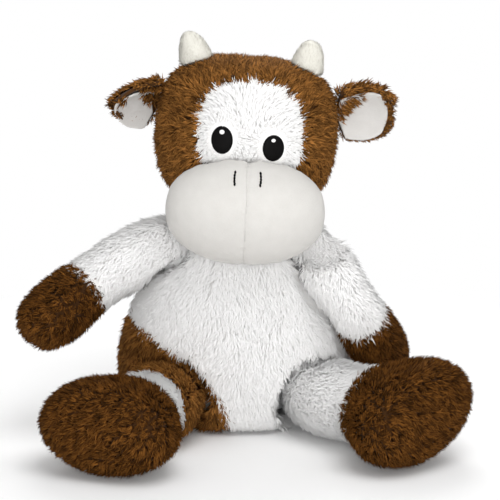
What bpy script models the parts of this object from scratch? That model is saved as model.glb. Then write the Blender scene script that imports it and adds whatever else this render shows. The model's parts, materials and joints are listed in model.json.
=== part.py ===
"""Seated plush cow: plush covers sewn over filling, with soft joints at neck, limbs, ears and tail.

Metres, +Z up. The toy faces -Y, the floor is Z = 0 and the origin is the middle of the seat base.
Left is -X and right is +X, as seen by someone who looks at the toy's face.
"""

import math

import bmesh
import bpy
from mathutils import Matrix, Vector

# Cloth, seams and the floor
PLUSH_COVER = 0.006
VELOUR_COVER = 0.0035
SEAM_GAP = 0.0003
SWEEP_GAP = 0.0012
FILLING_GAP = 0.0020
WELD = 0.000005
FLOOR_CUT = 0.0005
CUT_OVERRUN = 0.25
FILLING_OPENING_RADIUS = 0.009

# Torso, a pear that sits on the floor
TORSO_HEIGHT = 0.170
TORSO_WIDTH = 0.186
TORSO_DEPTH = 0.138
TORSO_LEAN = 0.002
TORSO_SIDES = 10
TORSO_RING_SHARES = (
    # height, width, depth
    (0.00, 0.52, 0.52),
    (0.00, 0.84, 0.84),
    (0.14, 1.02, 1.00),
    (0.31, 1.03, 1.03),
    (0.51, 0.93, 0.97),
    (0.68, 0.76, 0.84),
    (0.84, 0.56, 0.62),
    (0.95, 0.34, 0.40),
)

# Brown hip patch: its seam on the front, in shares of the torso's half width and of its height
HIP_PATCH_SHARES = (
    (-1.30, 0.49),
    (-0.87, 0.48),
    (-0.58, 0.40),
    (-0.34, 0.31),
    (-0.19, 0.20),
    (-0.12, 0.10),
    (-0.09, -0.10),
    (-1.30, -0.10),
)

# Pellet pouch, the weight that keeps the toy seated
POUCH_WIDTH = 0.110
POUCH_DEPTH = 0.080
POUCH_HEIGHT = 0.030
POUCH_SIDES = 8
POUCH_RING_SHARES = (
    (0.00, 0.80),
    (0.45, 1.04),
    (0.90, 0.74),
)

# Neck, a plug of filling that head and torso close round
NECK_CENTRE = Vector((0.002, 0.0, 0.162))
NECK_RADIUS = 0.030
NECK_RELIEF_REACH = 0.060
NECK_RELIEF_ANGLE = math.radians(10)
NECK_TURN_RANGE = math.radians(10)
NECK_NOD_RANGE = math.radians(5)

# Head
HEAD_CENTRE = Vector((0.005, -0.004, 0.2205))
HEAD_WIDTH = 0.133
HEAD_DEPTH = 0.110
HEAD_HEIGHT = 0.118
HEAD_ROLL = math.radians(4.5)
HEAD_SIDES = 10
HEAD_RING_SHARES = (
    # height over the centre, width and depth, each of its half size
    (-0.95, 0.52, 0.54),
    (-0.72, 0.90, 0.90),
    (-0.30, 1.03, 1.02),
    (0.20, 1.03, 1.02),
    (0.66, 0.97, 0.94),
    (0.93, 0.66, 0.66),
)

# White face blaze: half widths and heights in shares of the head's half sizes, over the head's centre
BLAZE_OUTLINE_SHARES = (
    (-0.36, -0.60),
    (0.50, -0.60),
    (0.61, -0.15),
    (0.60, 0.20),
    (0.54, 0.50),
    (0.38, 0.68),
    (0.10, 0.75),
    (-0.22, 0.72),
    (-0.44, 0.57),
    (-0.51, 0.30),
    (-0.51, -0.05),
)

# Muzzle, a broad egg of short velour with a seam down its middle
MUZZLE_CENTRE = Vector((0.0045, -0.058, 0.1715))
MUZZLE_WIDTH = 0.124
MUZZLE_DEPTH = 0.076
MUZZLE_HEIGHT = 0.080
MUZZLE_PITCH = math.radians(-12)
MUZZLE_ROLL = math.radians(3)
MUZZLE_SIDES = 10
MUZZLE_RING_SHARES = (
    # place along the width, and thickness, in shares of the half sizes
    (-0.88, 0.56),
    (-0.50, 0.95),
    (0.00, 1.03),
    (0.50, 0.95),
    (0.88, 0.56),
)

# Eyes, their glints and the stitched nostrils: places over the head's centre, as seen from the front
EYE_WIDTH = 0.018
EYE_HEIGHT = 0.0225
EYE_STAND = 0.0016
EYE_PAD = 0.005
EYE_LEFT_PLACE = Vector((-0.0168, 0.0035))
EYE_RIGHT_PLACE = Vector((0.0195, -0.0030))
GLINT_WIDTH = 0.0045
GLINT_STAND = 0.0008
GLINT_RISE = 0.0050
NOSTRIL_RADIUS = 0.0008
NOSTRIL_LENGTH = 0.0095
NOSTRIL_BOW = 0.0007
NOSTRIL_SPREAD = 0.0088
NOSTRIL_RISE = 0.0325
NOSTRIL_SHIFT = 0.0004
NOSTRIL_POINTS = 7

# Horns, soft stubs on the crown
HORN_RADIUS = 0.0105
HORN_LENGTH = 0.048
HORN_SPREAD = 0.038
HORN_FOOT_RISE = 0.028
HORN_LEAN = math.radians(7)
HORN_SIDES = 8
HORN_RING_SHARES = (
    (0.05, 1.00),
    (0.45, 1.06),
    (0.80, 0.96),
    (0.97, 0.56),
)

# Ears, cupped leaves: the plush back and the lining inside the cup
EAR_LENGTH = 0.048
EAR_WIDTH = 0.044
EAR_LEFT_CUP = 0.012
EAR_RIGHT_CUP = 0.009
EAR_BACK = 0.004
EAR_LINING = 0.002
EAR_ROOT_RISE = 0.019
EAR_ROOT_DROP = 0.006
EAR_LAYER_GAP = 0.0016
EAR_FLOP_RANGE = math.radians(20)
EAR_LENGTH_CELLS = 8
EAR_WIDTH_CELLS = 6
EAR_ROOT_WIDTH_SHARE = 0.72
EAR_FIRST_SHARE = 0.10
EAR_LAST_SHARE = 0.985
EAR_ROUNDNESS = 2.4
EAR_BACK_SHARES = (0.0, 1.0, 1.0, 0.0)
EAR_LINING_SHARES = (0.14, 0.93, 0.84, 0.20)
EAR_LEFT_TURN = math.radians(26)
EAR_RIGHT_TURN = math.radians(8)
EAR_LEFT_FALL = math.radians(4)
EAR_RIGHT_FALL = math.radians(-3)
EAR_LEFT_SWING = math.radians(36)
EAR_RIGHT_SWING = math.radians(0)

# How much of its socket's depth a limb's round root takes up
ROOT_SHARE = 0.94

# Arms: shoulder and paw places, and a sleeve that swells into the paw
ARM_RADIUS = 0.026
ARM_BALL_RADIUS = 0.025
ARM_TIP = 0.029
ARM_LEFT_CUFF = 0.083
ARM_RIGHT_CUFF = 0.070
ARM_SIDES = 8
ARM_LEFT_SHOULDER = Vector((-0.047, -0.008, 0.138))
ARM_LEFT_BEND = Vector((-0.092, -0.030, 0.124))
ARM_LEFT_PAW = Vector((-0.135, -0.060, 0.096))
ARM_RIGHT_SHOULDER = Vector((0.047, -0.012, 0.138))
ARM_RIGHT_BEND = Vector((0.082, -0.052, 0.104))
ARM_RIGHT_PAW = Vector((0.103, -0.016, 0.056))
ARM_RING_SHARES = (
    # place from the shoulder in shares of the way to the paw, width, height
    (-0.13, 0.62, 0.62),
    (0.02, 0.90, 0.90),
    (0.30, 1.02, 1.02),
    (0.60, 0.82, 0.82),
    (0.82, 0.94, 0.88),
    (1.04, 1.14, 0.96),
    (1.22, 0.80, 0.68),
)
ARM_LEFT_RANGE = (math.radians(-10), math.radians(25))
ARM_RIGHT_RANGE = (0.0, math.radians(30))
ARM_STOPS = 3

# How far past its range the room for a leg is cut
OVERTURN = 1.04

# Legs: hip and foot places, and a tube that swells into a foot laid on its side
LEG_RADIUS = 0.030
LEG_BALL_RADIUS = 0.030
LEG_SIDES = 8
LEG_LEFT_HIP = Vector((-0.050, -0.050, 0.0295))
LEG_RIGHT_HIP = Vector((0.054, -0.046, 0.0295))
LEG_LEFT_FOOT = Vector((-0.083, -0.141, 0.0340))
LEG_RIGHT_FOOT = Vector((0.116, -0.122, 0.0360))
LEG_LEFT_TOE = Vector((-1.0, 0.0, 0.04))
LEG_RIGHT_TOE = Vector((1.0, 0.0, 0.28))
FOOT_LENGTH = 0.105
FOOT_HEIGHT = 0.068
FOOT_DEPTH = 0.060
FOOT_TOE_REACH = 0.006
BAND_START = 0.040
FOOT_START = 0.064
SOLE_START_SHARE = 0.22
LEG_RING_SHARES = (
    # tube rings: place from the hip in shares of the leg's radius, and thickness
    (-0.58, 0.66),
    (0.05, 0.93),
    (0.95, 1.03),
)
ANKLE_SHARE = 0.92
FOOT_RING_SHARES = (
    # foot rings: place from the foot's middle in shares of its half depth, length, height
    (-0.78, 0.72, 0.84),
    (-0.20, 1.05, 1.05),
    (0.62, 1.00, 1.00),
    (0.98, 0.66, 0.66),
)
LEG_RANGE = (math.radians(-20), math.radians(20))

# Tail, a thin stem with a tuft, hanging behind the seat
TAIL_ROOT = Vector((0.0, 0.0660, 0.056))
TAIL_STEM_RADIUS = 0.0050
TAIL_DROP = 0.030
TAIL_REACH = 0.020
TAIL_SINK = 0.008
TAIL_POINTS = 8
TUFT_RADIUS = 0.009
TUFT_LENGTH = 0.026
TUFT_SIDES = 8
TUFT_RING_SHARES = (
    (0.06, 0.62),
    (0.42, 1.08),
    (0.82, 0.66),
)
TAIL_RANGE = (0.0, math.radians(50))

# Fineness of the forms and cutters
FLAT_ANGLE = math.radians(1.5)
SUBDIVISIONS = 1
BALL_SEGMENTS = 24
ROOM_SEGMENTS = 14
PAD_SEGMENTS = 14
PAD_RINGS = 8
OPENING_SEGMENTS = 12
CORD_SEGMENTS = 2
SHARP_ANGLE = math.radians(50)
FILLING_DETAIL = 0.4

SIDES = (("left", -1.0), ("right", 1.0))

BROWN = (0.150, 0.052, 0.016)
WHITE = (0.820, 0.805, 0.780)
MUZZLE_WHITE = (0.760, 0.725, 0.680)
CREAM = (0.740, 0.660, 0.500)
FILLING = (0.860, 0.860, 0.850)
PELLETS = (0.600, 0.610, 0.620)
BLACK = (0.012, 0.011, 0.011)
PLUSH_ROUGHNESS = 0.95
THREAD_ROUGHNESS = 0.55


def clear_scene():
    """Remove the objects that a new scene starts with."""
    for thing in list(bpy.data.objects):
        bpy.data.objects.remove(thing, do_unlink=True)


def new_collection(name):
    """A collection under the scene's own."""
    collection = bpy.data.collections.new(name)
    bpy.context.scene.collection.children.link(collection)
    return collection


def cloth(name, colour, roughness):
    """A matt cloth of one colour."""
    material = bpy.data.materials.new(name)
    material.use_nodes = True
    shader = material.node_tree.nodes["Principled BSDF"]
    shader.inputs["Base Color"].default_value = (*colour, 1.0)
    shader.inputs["Roughness"].default_value = roughness
    shader.inputs["Metallic"].default_value = 0.0
    return material


def put(collection, name, mesh):
    """An object of this mesh in this collection."""
    thing = bpy.data.objects.new(name, mesh)
    collection.objects.link(thing)
    return thing


def make_cutter(thing):
    """Mark a helper form that is left out of the part."""
    thing.hide_render = True
    thing.display_type = "WIRE"
    return thing


def ring_cage(name, rings, first_pole, last_pole, sides):
    """A closed cage lofted through elliptical rings.

    A ring is (centre, half axis across, half axis up). Rounding draws a ring in towards its centre, so the
    cage stands outside the wanted surface by the share that the rounding takes off.
    """
    swell = 3.0 / (2.0 + math.cos(2.0 * math.pi / sides))
    mesh = bmesh.new()
    loops = []
    for centre, across, up in rings:
        loop = []
        for step in range(sides):
            angle = 2.0 * math.pi * (step + 0.5) / sides
            loop.append(mesh.verts.new(centre + (across * math.cos(angle) + up * math.sin(angle)) * swell))
        loops.append(loop)
    for lower, upper in zip(loops, loops[1:]):
        for step in range(sides):
            after = (step + 1) % sides
            mesh.faces.new((lower[step], lower[after], upper[after], upper[step]))
    for loop, pole in ((loops[0], first_pole), (loops[-1], last_pole)):
        tip = mesh.verts.new(pole)
        for step in range(sides):
            mesh.faces.new((loop[step], loop[(step + 1) % sides], tip))
    bmesh.ops.recalc_face_normals(mesh, faces=mesh.faces)
    data = bpy.data.meshes.new(name)
    mesh.to_mesh(data)
    mesh.free()
    return make_cutter(put(HELPERS, name, data))


def smooth_form(cage):
    """Round a cage off into a stuffed form."""
    modifier = cage.modifiers.new("stuffed", "SUBSURF")
    modifier.levels = SUBDIVISIONS
    modifier.render_levels = SUBDIVISIONS
    return cage


def copy_form(form, name, collection):
    """A copy of a form."""
    thing = form.copy()
    thing.data = form.data.copy()
    thing.name = name
    thing.data.name = name
    collection.objects.link(thing)
    return thing


def grown(form, name, growth, collection):
    """A copy of a form that stands out, or in where growth is negative, by this much."""
    thing = copy_form(form, name, collection)
    modifier = thing.modifiers.new("growth", "DISPLACE")
    modifier.mid_level = 0.0
    modifier.strength = growth
    return make_cutter(thing)


def hollow(thing, wall):
    """Give a form a cover's wall, inwards from its surface."""
    modifier = thing.modifiers.new("cover", "SOLIDIFY")
    modifier.thickness = wall
    modifier.offset = -1.0
    return thing


def cut(thing, *cutters, operation="DIFFERENCE"):
    """Take each cutter in turn off a form, or keep or add what the operation says, and weld the cut."""
    for cutter in cutters:
        modifier = thing.modifiers.new("seam", "BOOLEAN")
        modifier.operation = operation
        modifier.solver = "EXACT"
        modifier.object = cutter
        welded(settled(thing))
    return thing


def evaluated_mesh(thing, name):
    """The shape that a form has once it is rounded, grown and cut."""
    graph = bpy.context.evaluated_depsgraph_get()
    graph.update()
    mesh = bpy.data.meshes.new_from_object(thing.evaluated_get(graph))
    mesh.name = name
    return mesh


def settled(thing):
    """Make what a form has become its own shape."""
    mesh = evaluated_mesh(thing, thing.name)
    thing.modifiers.clear()
    thing.data = mesh
    return thing


def welded(thing):
    """Merge the points that a cut leaves on top of each other, and drop the faces that collapse."""
    mesh = bmesh.new()
    mesh.from_mesh(thing.data)
    bmesh.ops.remove_doubles(mesh, verts=mesh.verts, dist=WELD)
    bmesh.ops.dissolve_degenerate(mesh, edges=mesh.edges, dist=WELD)
    bmesh.ops.dissolve_limit(mesh, angle_limit=FLAT_ANGLE, verts=mesh.verts, edges=mesh.edges)
    bmesh.ops.triangulate(mesh, faces=mesh.faces)
    mesh.to_mesh(thing.data)
    mesh.free()
    return thing


def without_offcuts(thing):
    """Keep the largest body of a cut piece and drop the slivers that a seam leaves loose."""
    mesh = bmesh.new()
    mesh.from_mesh(thing.data)
    left = set(mesh.verts)
    bodies = []
    while left:
        body = {left.pop()}
        edge_points = list(body)
        while edge_points:
            point = edge_points.pop()
            for edge in point.link_edges:
                other = edge.other_vert(point)
                if other in left:
                    left.discard(other)
                    body.add(other)
                    edge_points.append(other)
        bodies.append(sorted(body, key=lambda vert: vert.index))
    bodies.sort(key=len)
    for body in bodies[:-1]:
        bmesh.ops.delete(mesh, geom=body, context="VERTS")
    mesh.to_mesh(thing.data)
    mesh.free()
    return thing


def filled(form, name, cover, cutters, parent):
    """A form's filling: drawn in under its cover, cut, and thinned to fewer faces because it is hidden."""
    filling = grown(form, name, -(cover + FILLING_GAP), PART)
    cut(filling, *cutters)
    thinned = filling.modifiers.new("thinned", "DECIMATE")
    thinned.ratio = FILLING_DETAIL
    return finished(filling, FILLING_FLEECE, parent)


def ball(name, centre, radius, segments=BALL_SEGMENTS):
    """A sphere cutter."""
    mesh = bmesh.new()
    bmesh.ops.create_uvsphere(mesh, u_segments=segments, v_segments=segments // 2, radius=radius,
                              matrix=Matrix.Translation(centre))
    data = bpy.data.meshes.new(name)
    mesh.to_mesh(data)
    mesh.free()
    return make_cutter(put(HELPERS, name, data))


def half_space(name, point, normal):
    """A large block whose one face lies at the point, on the side that the normal points to."""
    turn = normal.normalized().to_track_quat("Z", "Y").to_matrix().to_4x4()
    middle = point + normal.normalized() * CUT_OVERRUN
    mesh = bmesh.new()
    bmesh.ops.create_cube(mesh, size=2.0 * CUT_OVERRUN, matrix=Matrix.Translation(middle) @ turn)
    data = bpy.data.meshes.new(name)
    mesh.to_mesh(data)
    mesh.free()
    return make_cutter(put(HELPERS, name, data))


def prism(name, outline, frame, depth, growth):
    """An outline in the X-Z plane of a frame, grown by a little and extruded along the frame's -Y."""
    middle = sum((Vector(point) for point in outline), Vector((0.0, 0.0))) / len(outline)
    mesh = bmesh.new()
    near = []
    far = []
    for point in outline:
        flat = Vector(point)
        away = (flat - middle).normalized()
        flat = flat + away * growth
        near.append(mesh.verts.new(frame @ Vector((flat.x, 0.0, flat.y))))
        far.append(mesh.verts.new(frame @ Vector((flat.x, -depth, flat.y))))
    mesh.faces.new(near)
    mesh.faces.new(list(reversed(far)))
    for index in range(len(outline)):
        after = (index + 1) % len(outline)
        mesh.faces.new((near[index], far[index], far[after], near[after]))
    bmesh.ops.recalc_face_normals(mesh, faces=mesh.faces)
    data = bpy.data.meshes.new(name)
    mesh.to_mesh(data)
    mesh.free()
    return make_cutter(put(HELPERS, name, data))


def finished(thing, material, parent=None):
    """Settle a piece into the part: material, smooth shading and its joint's empty as parent."""
    without_offcuts(settled(thing))
    thing.hide_render = False
    thing.display_type = "TEXTURED"
    thing.data.materials.clear()
    thing.data.materials.append(material)
    thing.data.shade_smooth()
    thing.data.set_sharp_from_angle(angle=SHARP_ANGLE)
    if parent is not None:
        thing.parent = parent
        thing.matrix_parent_inverse = parent.matrix_world.inverted()
    return thing


def joint_empty(name, place, parent=None):
    """An empty on a joint's axis."""
    empty = put(PART, name, None)
    empty.location = place
    if parent is not None:
        empty.location = place - parent.matrix_world.translation
        empty.parent = parent
    bpy.context.view_layer.update()
    return empty


def spin(angle, axis, centre):
    """The matrix that turns things about an axis through a centre."""
    return Matrix.Translation(centre) @ Matrix.Rotation(angle, 4, axis) @ Matrix.Translation(-centre)


def sweep(name, guards, turns):
    """The guard at rest, and for each turn a turned copy of the wider guard, as cutters."""
    at_rest, in_motion = guards
    copies = []
    for index, turn in enumerate(turns):
        copy = make_cutter(put(HELPERS, f"{name}_{index}", in_motion.data))
        copy.matrix_world = turn
        copies.append(copy)
    bpy.context.view_layer.update()
    return [at_rest, *copies]


def swept_hull(name, form, turns):
    """The convex form that holds a convex form in each of its turns."""
    mesh = bmesh.new()
    for turn in turns:
        for vertex in form.data.vertices:
            mesh.verts.new(turn @ vertex.co)
    hull = bmesh.ops.convex_hull(mesh, input=mesh.verts)
    spare = [item for item in hull["geom_interior"] if isinstance(item, bmesh.types.BMVert)]
    bmesh.ops.delete(mesh, geom=spare, context="VERTS")
    bmesh.ops.recalc_face_normals(mesh, faces=mesh.faces)
    data = bpy.data.meshes.new(name)
    mesh.to_mesh(data)
    mesh.free()
    return make_cutter(put(HELPERS, name, data))


def front_point(form, place_x, place_z, lift):
    """The point and normal where a ray along +Y meets a form's front, lifted off it."""
    start = Vector((place_x, -CUT_OVERRUN, place_z))
    hit, point, normal, _ = form.ray_cast(start, Vector((0.0, 1.0, 0.0)))
    if not hit:
        raise ValueError(f"no surface in front of {form.name}")
    return point + normal * lift, normal


def torso_form():
    """The torso's outer form, flat just under the floor."""
    rings = []
    for height, width, depth in TORSO_RING_SHARES:
        centre = Vector((0.0, -TORSO_LEAN, TORSO_HEIGHT * height - FLOOR_CUT))
        across = Vector((TORSO_WIDTH / 2.0 * width, 0.0, 0.0))
        rings.append((centre, across, Vector((0.0, TORSO_DEPTH / 2.0 * depth, 0.0))))
    bottom = Vector((0.0, -TORSO_LEAN, -FLOOR_CUT))
    top = Vector((0.0, -TORSO_LEAN, TORSO_HEIGHT))
    return smooth_form(ring_cage("torso_form", rings, bottom, top, TORSO_SIDES))


def head_frame():
    """The head's own frame: its centre and its roll."""
    return Matrix.Translation(HEAD_CENTRE) @ Matrix.Rotation(HEAD_ROLL, 4, "Y")


def head_form():
    """The head's outer form, a rounded block."""
    frame = head_frame()
    turn = frame.to_3x3()
    rings = []
    for height, width, depth in HEAD_RING_SHARES:
        centre = frame @ Vector((0.0, 0.0, HEAD_HEIGHT / 2.0 * height))
        across = turn @ Vector((HEAD_WIDTH / 2.0 * width, 0.0, 0.0))
        rings.append((centre, across, turn @ Vector((0.0, HEAD_DEPTH / 2.0 * depth, 0.0))))
    bottom = frame @ Vector((0.0, 0.0, -HEAD_HEIGHT / 2.0))
    top = frame @ Vector((0.0, 0.0, HEAD_HEIGHT / 2.0))
    return smooth_form(ring_cage("head_form", rings, bottom, top, HEAD_SIDES))


def muzzle_frame():
    """The muzzle's own frame."""
    pitch = Matrix.Rotation(MUZZLE_PITCH, 4, "X")
    return Matrix.Translation(MUZZLE_CENTRE) @ Matrix.Rotation(MUZZLE_ROLL, 4, "Y") @ pitch


def muzzle_form():
    """The muzzle's outer form, an egg lying across the face."""
    frame = muzzle_frame()
    turn = frame.to_3x3()
    rings = []
    for place, thickness in MUZZLE_RING_SHARES:
        centre = frame @ Vector((MUZZLE_WIDTH / 2.0 * place, 0.0, 0.0))
        across = turn @ Vector((0.0, MUZZLE_DEPTH / 2.0 * thickness, 0.0))
        rings.append((centre, across, turn @ Vector((0.0, 0.0, MUZZLE_HEIGHT / 2.0 * thickness))))
    ends = [frame @ Vector((side * MUZZLE_WIDTH / 2.0, 0.0, 0.0)) for _, side in SIDES]
    return smooth_form(ring_cage("muzzle_form", rings, ends[0], ends[1], MUZZLE_SIDES))


def bent_point(start, bend, end, share):
    """A point of the curve from start to end that leans towards the bend, run on straight past its ends."""
    inside = min(max(share, 0.0), 1.0)
    control = bend * 2.0 - (start + end) / 2.0
    point = start * (1.0 - inside) ** 2 + control * 2.0 * inside * (1.0 - inside) + end * inside ** 2
    slope = (control - start) * 2.0 * (1.0 - inside) + (end - control) * 2.0 * inside
    return point + slope * (share - inside), slope.normalized()


def arm_form(name, shoulder, bend, paw):
    """An arm: a round shoulder, a sleeve that narrows to its cuff and a broad paw."""
    rings = []
    for place, width, height in ARM_RING_SHARES:
        centre, along = bent_point(shoulder, bend, paw, place)
        across = along.cross(Vector((0.0, 0.0, 1.0))).normalized()
        rings.append((centre, across * ARM_RADIUS * width, across.cross(along) * ARM_RADIUS * height))
    start, along = bent_point(shoulder, bend, paw, 0.0)
    end, tip_way = bent_point(shoulder, bend, paw, 1.0)
    first = start - along * ARM_BALL_RADIUS * ROOT_SHARE
    return smooth_form(ring_cage(name, rings, first, end + tip_way * ARM_TIP, ARM_SIDES))


def leg_form(name, hip, foot, toe):
    """A leg: a round hip, a tube and a foot that lies on its side with its sole to the front."""
    along = (foot - hip).normalized()
    toe_way = (toe - along * toe.dot(along)).normalized()
    up = toe_way.cross(along).normalized()
    rings = []
    for place, thickness in LEG_RING_SHARES:
        radius = LEG_RADIUS * thickness
        rings.append((hip + along * LEG_RADIUS * place, toe_way * radius, up * radius))
    ankle = hip + along * (BAND_START + FOOT_START) / 2.0
    rings.append((ankle, toe_way * LEG_RADIUS * ANKLE_SHARE, up * LEG_RADIUS * ANKLE_SHARE))
    middle = foot + toe_way * FOOT_TOE_REACH
    for place, length, height in FOOT_RING_SHARES:
        centre = middle + along * FOOT_DEPTH / 2.0 * place
        rings.append((centre, toe_way * FOOT_LENGTH / 2.0 * length, up * FOOT_HEIGHT / 2.0 * height))
    first = hip - along * LEG_BALL_RADIUS * ROOT_SHARE
    return smooth_form(ring_cage(name, rings, first, middle + along * FOOT_DEPTH / 2.0, LEG_SIDES))


def torso_guard(form, name, gap):
    """The torso with the neck's plug, grown by a gap, with the room that limbs have in it."""
    guard = grown(form, name, gap, HELPERS)
    for socket, place, radius in SOCKETS:
        if socket != "neck":
            cut(guard, ball(f"{name}_{socket}", place, radius - SEAM_GAP, ROOM_SEGMENTS))
    plug = ball(f"{name}_plug", NECK_CENTRE, NECK_RADIUS - SEAM_GAP + gap)
    return cut(guard, plug, operation="UNION")


def neck_relief():
    """The wedge of room round the neck, turned about the upright, that lets the head nod."""
    rise = math.tan(NECK_RELIEF_ANGLE)
    inner = NECK_RADIUS / 2.0
    corners = (
        (inner, inner * rise),
        (NECK_RELIEF_REACH, NECK_RELIEF_REACH * rise),
        (NECK_RELIEF_REACH, -NECK_RELIEF_REACH * rise),
        (inner, -inner * rise),
    )
    mesh = bmesh.new()
    loop = [mesh.verts.new(Vector((radius, 0.0, height))) for radius, height in corners]
    for index in range(len(loop)):
        mesh.edges.new((loop[index], loop[(index + 1) % len(loop)]))
    data = bpy.data.meshes.new("neck_relief")
    mesh.to_mesh(data)
    mesh.free()
    thing = make_cutter(put(HELPERS, "neck_relief", data))
    thing.location = NECK_CENTRE
    turned = thing.modifiers.new("turned", "SCREW")
    turned.steps = BALL_SEGMENTS
    turned.render_steps = BALL_SEGMENTS
    turned.use_merge_vertices = True
    turned.merge_threshold = WELD
    settled(thing)
    mesh = bmesh.new()
    mesh.from_mesh(thing.data)
    bmesh.ops.recalc_face_normals(mesh, faces=mesh.faces)
    mesh.to_mesh(thing.data)
    mesh.free()
    return thing


def make_torso(form):
    """Belly, back and hip patch over filling, with the pellet pouch at the bottom."""
    seam = Vector((0.0, -TORSO_LEAN, 0.0))
    front = half_space("torso_front", seam - Vector((0.0, SEAM_GAP / 2.0, 0.0)), Vector((0.0, -1.0, 0.0)))
    rear = half_space("torso_rear", seam + Vector((0.0, SEAM_GAP / 2.0, 0.0)), Vector((0.0, 1.0, 0.0)))
    outline = [(TORSO_WIDTH / 2.0 * across, TORSO_HEIGHT * height) for across, height in HIP_PATCH_SHARES]
    patch_cut = prism("hip_patch_cut", outline, Matrix.Identity(4), CUT_OVERRUN, SEAM_GAP)
    patch_keep = prism("hip_patch_keep", outline, Matrix.Identity(4), CUT_OVERRUN, 0.0)
    relief = bpy.data.objects["neck_relief"]

    sockets = [ball(f"socket_{name}", place, radius + SEAM_GAP) for name, place, radius in SOCKETS]
    panels = []
    for name, side, material in (("belly_panel", front, WHITE_PLUSH), ("back_panel", rear, WHITE_PLUSH),
                                 ("hip_patch", front, BROWN_PLUSH)):
        panel = hollow(copy_form(form, name, PART), PLUSH_COVER)
        cut(panel, side, operation="INTERSECT")
        cut(panel, *sockets, relief, FLOOR)
        if name == "belly_panel":
            cut(panel, patch_cut)
        if name == "hip_patch":
            cut(panel, patch_keep, operation="INTERSECT")
        panels.append(finished(panel, material))

    bottom = Vector((0.0, -TORSO_LEAN, PLUSH_COVER - FLOOR_CUT + SEAM_GAP))
    rings = []
    for height, width in POUCH_RING_SHARES:
        centre = bottom + Vector((0.0, 0.0, POUCH_HEIGHT * height))
        across = Vector((POUCH_WIDTH / 2.0 * width, 0.0, 0.0))
        rings.append((centre, across, Vector((0.0, POUCH_DEPTH / 2.0 * width, 0.0))))
    top = bottom + Vector((0.0, 0.0, POUCH_HEIGHT))
    pouch = smooth_form(ring_cage("pouch_form", rings, bottom, top, POUCH_SIDES))
    under = half_space("pouch_floor", bottom, Vector((0.0, 0.0, -1.0)))
    finished(cut(copy_form(pouch, "pellet_pouch", PART), under), PELLET_BAG)
    rooms = [ball(f"filling_{name}", place, radius + 2.0 * FILLING_GAP, ROOM_SEGMENTS)
             for name, place, radius in SOCKETS]
    pouch_room = grown(pouch, "pouch_room", FILLING_GAP, HELPERS)
    filled(form, "torso_stuffing", PLUSH_COVER, [*rooms, relief, pouch_room], None)


def make_neck(parent):
    """The plug of filling that fills the room between torso and head."""
    plug = ball("neck_plug", NECK_CENTRE, NECK_RADIUS - SEAM_GAP)
    PART.objects.link(plug)
    HELPERS.objects.unlink(plug)
    finished(plug, FILLING_FLEECE, parent)


def make_head(form, snout, sweeps, parent):
    """Two side panels, the blaze, the muzzle's halves and the filling of both."""
    frame = head_frame()
    turn = frame.to_3x3()
    relief = bpy.data.objects["neck_relief"]
    room = ball("head_neck_room", NECK_CENTRE, NECK_RADIUS + SEAM_GAP)
    side_way = turn @ Vector((1.0, 0.0, 0.0))
    outline = [(HEAD_WIDTH / 2.0 * across, HEAD_HEIGHT / 2.0 * rise) for across, rise in BLAZE_OUTLINE_SHARES]
    blaze_cut = prism("blaze_cut", outline, frame, CUT_OVERRUN, SEAM_GAP)
    blaze_keep = prism("blaze_keep", outline, frame, CUT_OVERRUN, 0.0)
    for side, way in SIDES:
        panel = hollow(copy_form(form, f"head_side_{side}", PART), PLUSH_COVER)
        cut(panel, room)
        cut(panel, relief)
        keep = half_space(f"head_{side}_half", HEAD_CENTRE + side_way * way * SEAM_GAP / 2.0, side_way * way)
        cut(panel, keep, operation="INTERSECT")
        cut(panel, blaze_cut)
        finished(panel, BROWN_PLUSH, parent)
    blaze = hollow(copy_form(form, "face_blaze", PART), PLUSH_COVER)
    finished(cut(blaze, blaze_keep, operation="INTERSECT"), WHITE_PLUSH, parent)
    plug_room = ball("head_filling_room", NECK_CENTRE, NECK_RADIUS + 2.0 * FILLING_GAP, ROOM_SEGMENTS)
    filled(form, "head_stuffing", PLUSH_COVER, (plug_room, relief), parent)

    face = settled(grown(form, "head_guard", SEAM_GAP, HELPERS))
    seam_way = muzzle_frame().to_3x3() @ Vector((1.0, 0.0, 0.0))
    for side, way in SIDES:
        half = hollow(copy_form(snout, f"muzzle_{side}", PART), VELOUR_COVER)
        keep = half_space(f"muzzle_{side}_half", MUZZLE_CENTRE + seam_way * way * SEAM_GAP / 2.0,
                          seam_way * way)
        cut(half, keep, operation="INTERSECT")
        cut(half, face)
        cut(half, *sweeps)
        finished(half, MUZZLE_VELOUR, parent)
    wide_face = settled(grown(form, "head_wide_guard", SWEEP_GAP, HELPERS))
    filled(snout, "muzzle_stuffing", VELOUR_COVER, (wide_face, *sweeps[1:]), parent)
    return face


def oval_pad(name, collection, centre, normal, width, height, thickness):
    """A flattened ball that faces along a normal, upright in the head's frame."""
    up = head_frame().to_3x3() @ Vector((0.0, 0.0, 1.0))
    out = normal.normalized()
    across = up.cross(out).normalized()
    upright = out.cross(across)
    turn = Matrix((across, out, upright)).transposed().to_4x4()
    size = Matrix.Diagonal(Vector((width, thickness, height)) / 2.0).to_4x4()
    mesh = bmesh.new()
    bmesh.ops.create_uvsphere(mesh, u_segments=PAD_SEGMENTS, v_segments=PAD_RINGS, radius=1.0,
                              matrix=Matrix.Translation(centre) @ turn @ size)
    bmesh.ops.recalc_face_normals(mesh, faces=mesh.faces)
    data = bpy.data.meshes.new(name)
    mesh.to_mesh(data)
    mesh.free()
    return put(collection, name, data)


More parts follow.
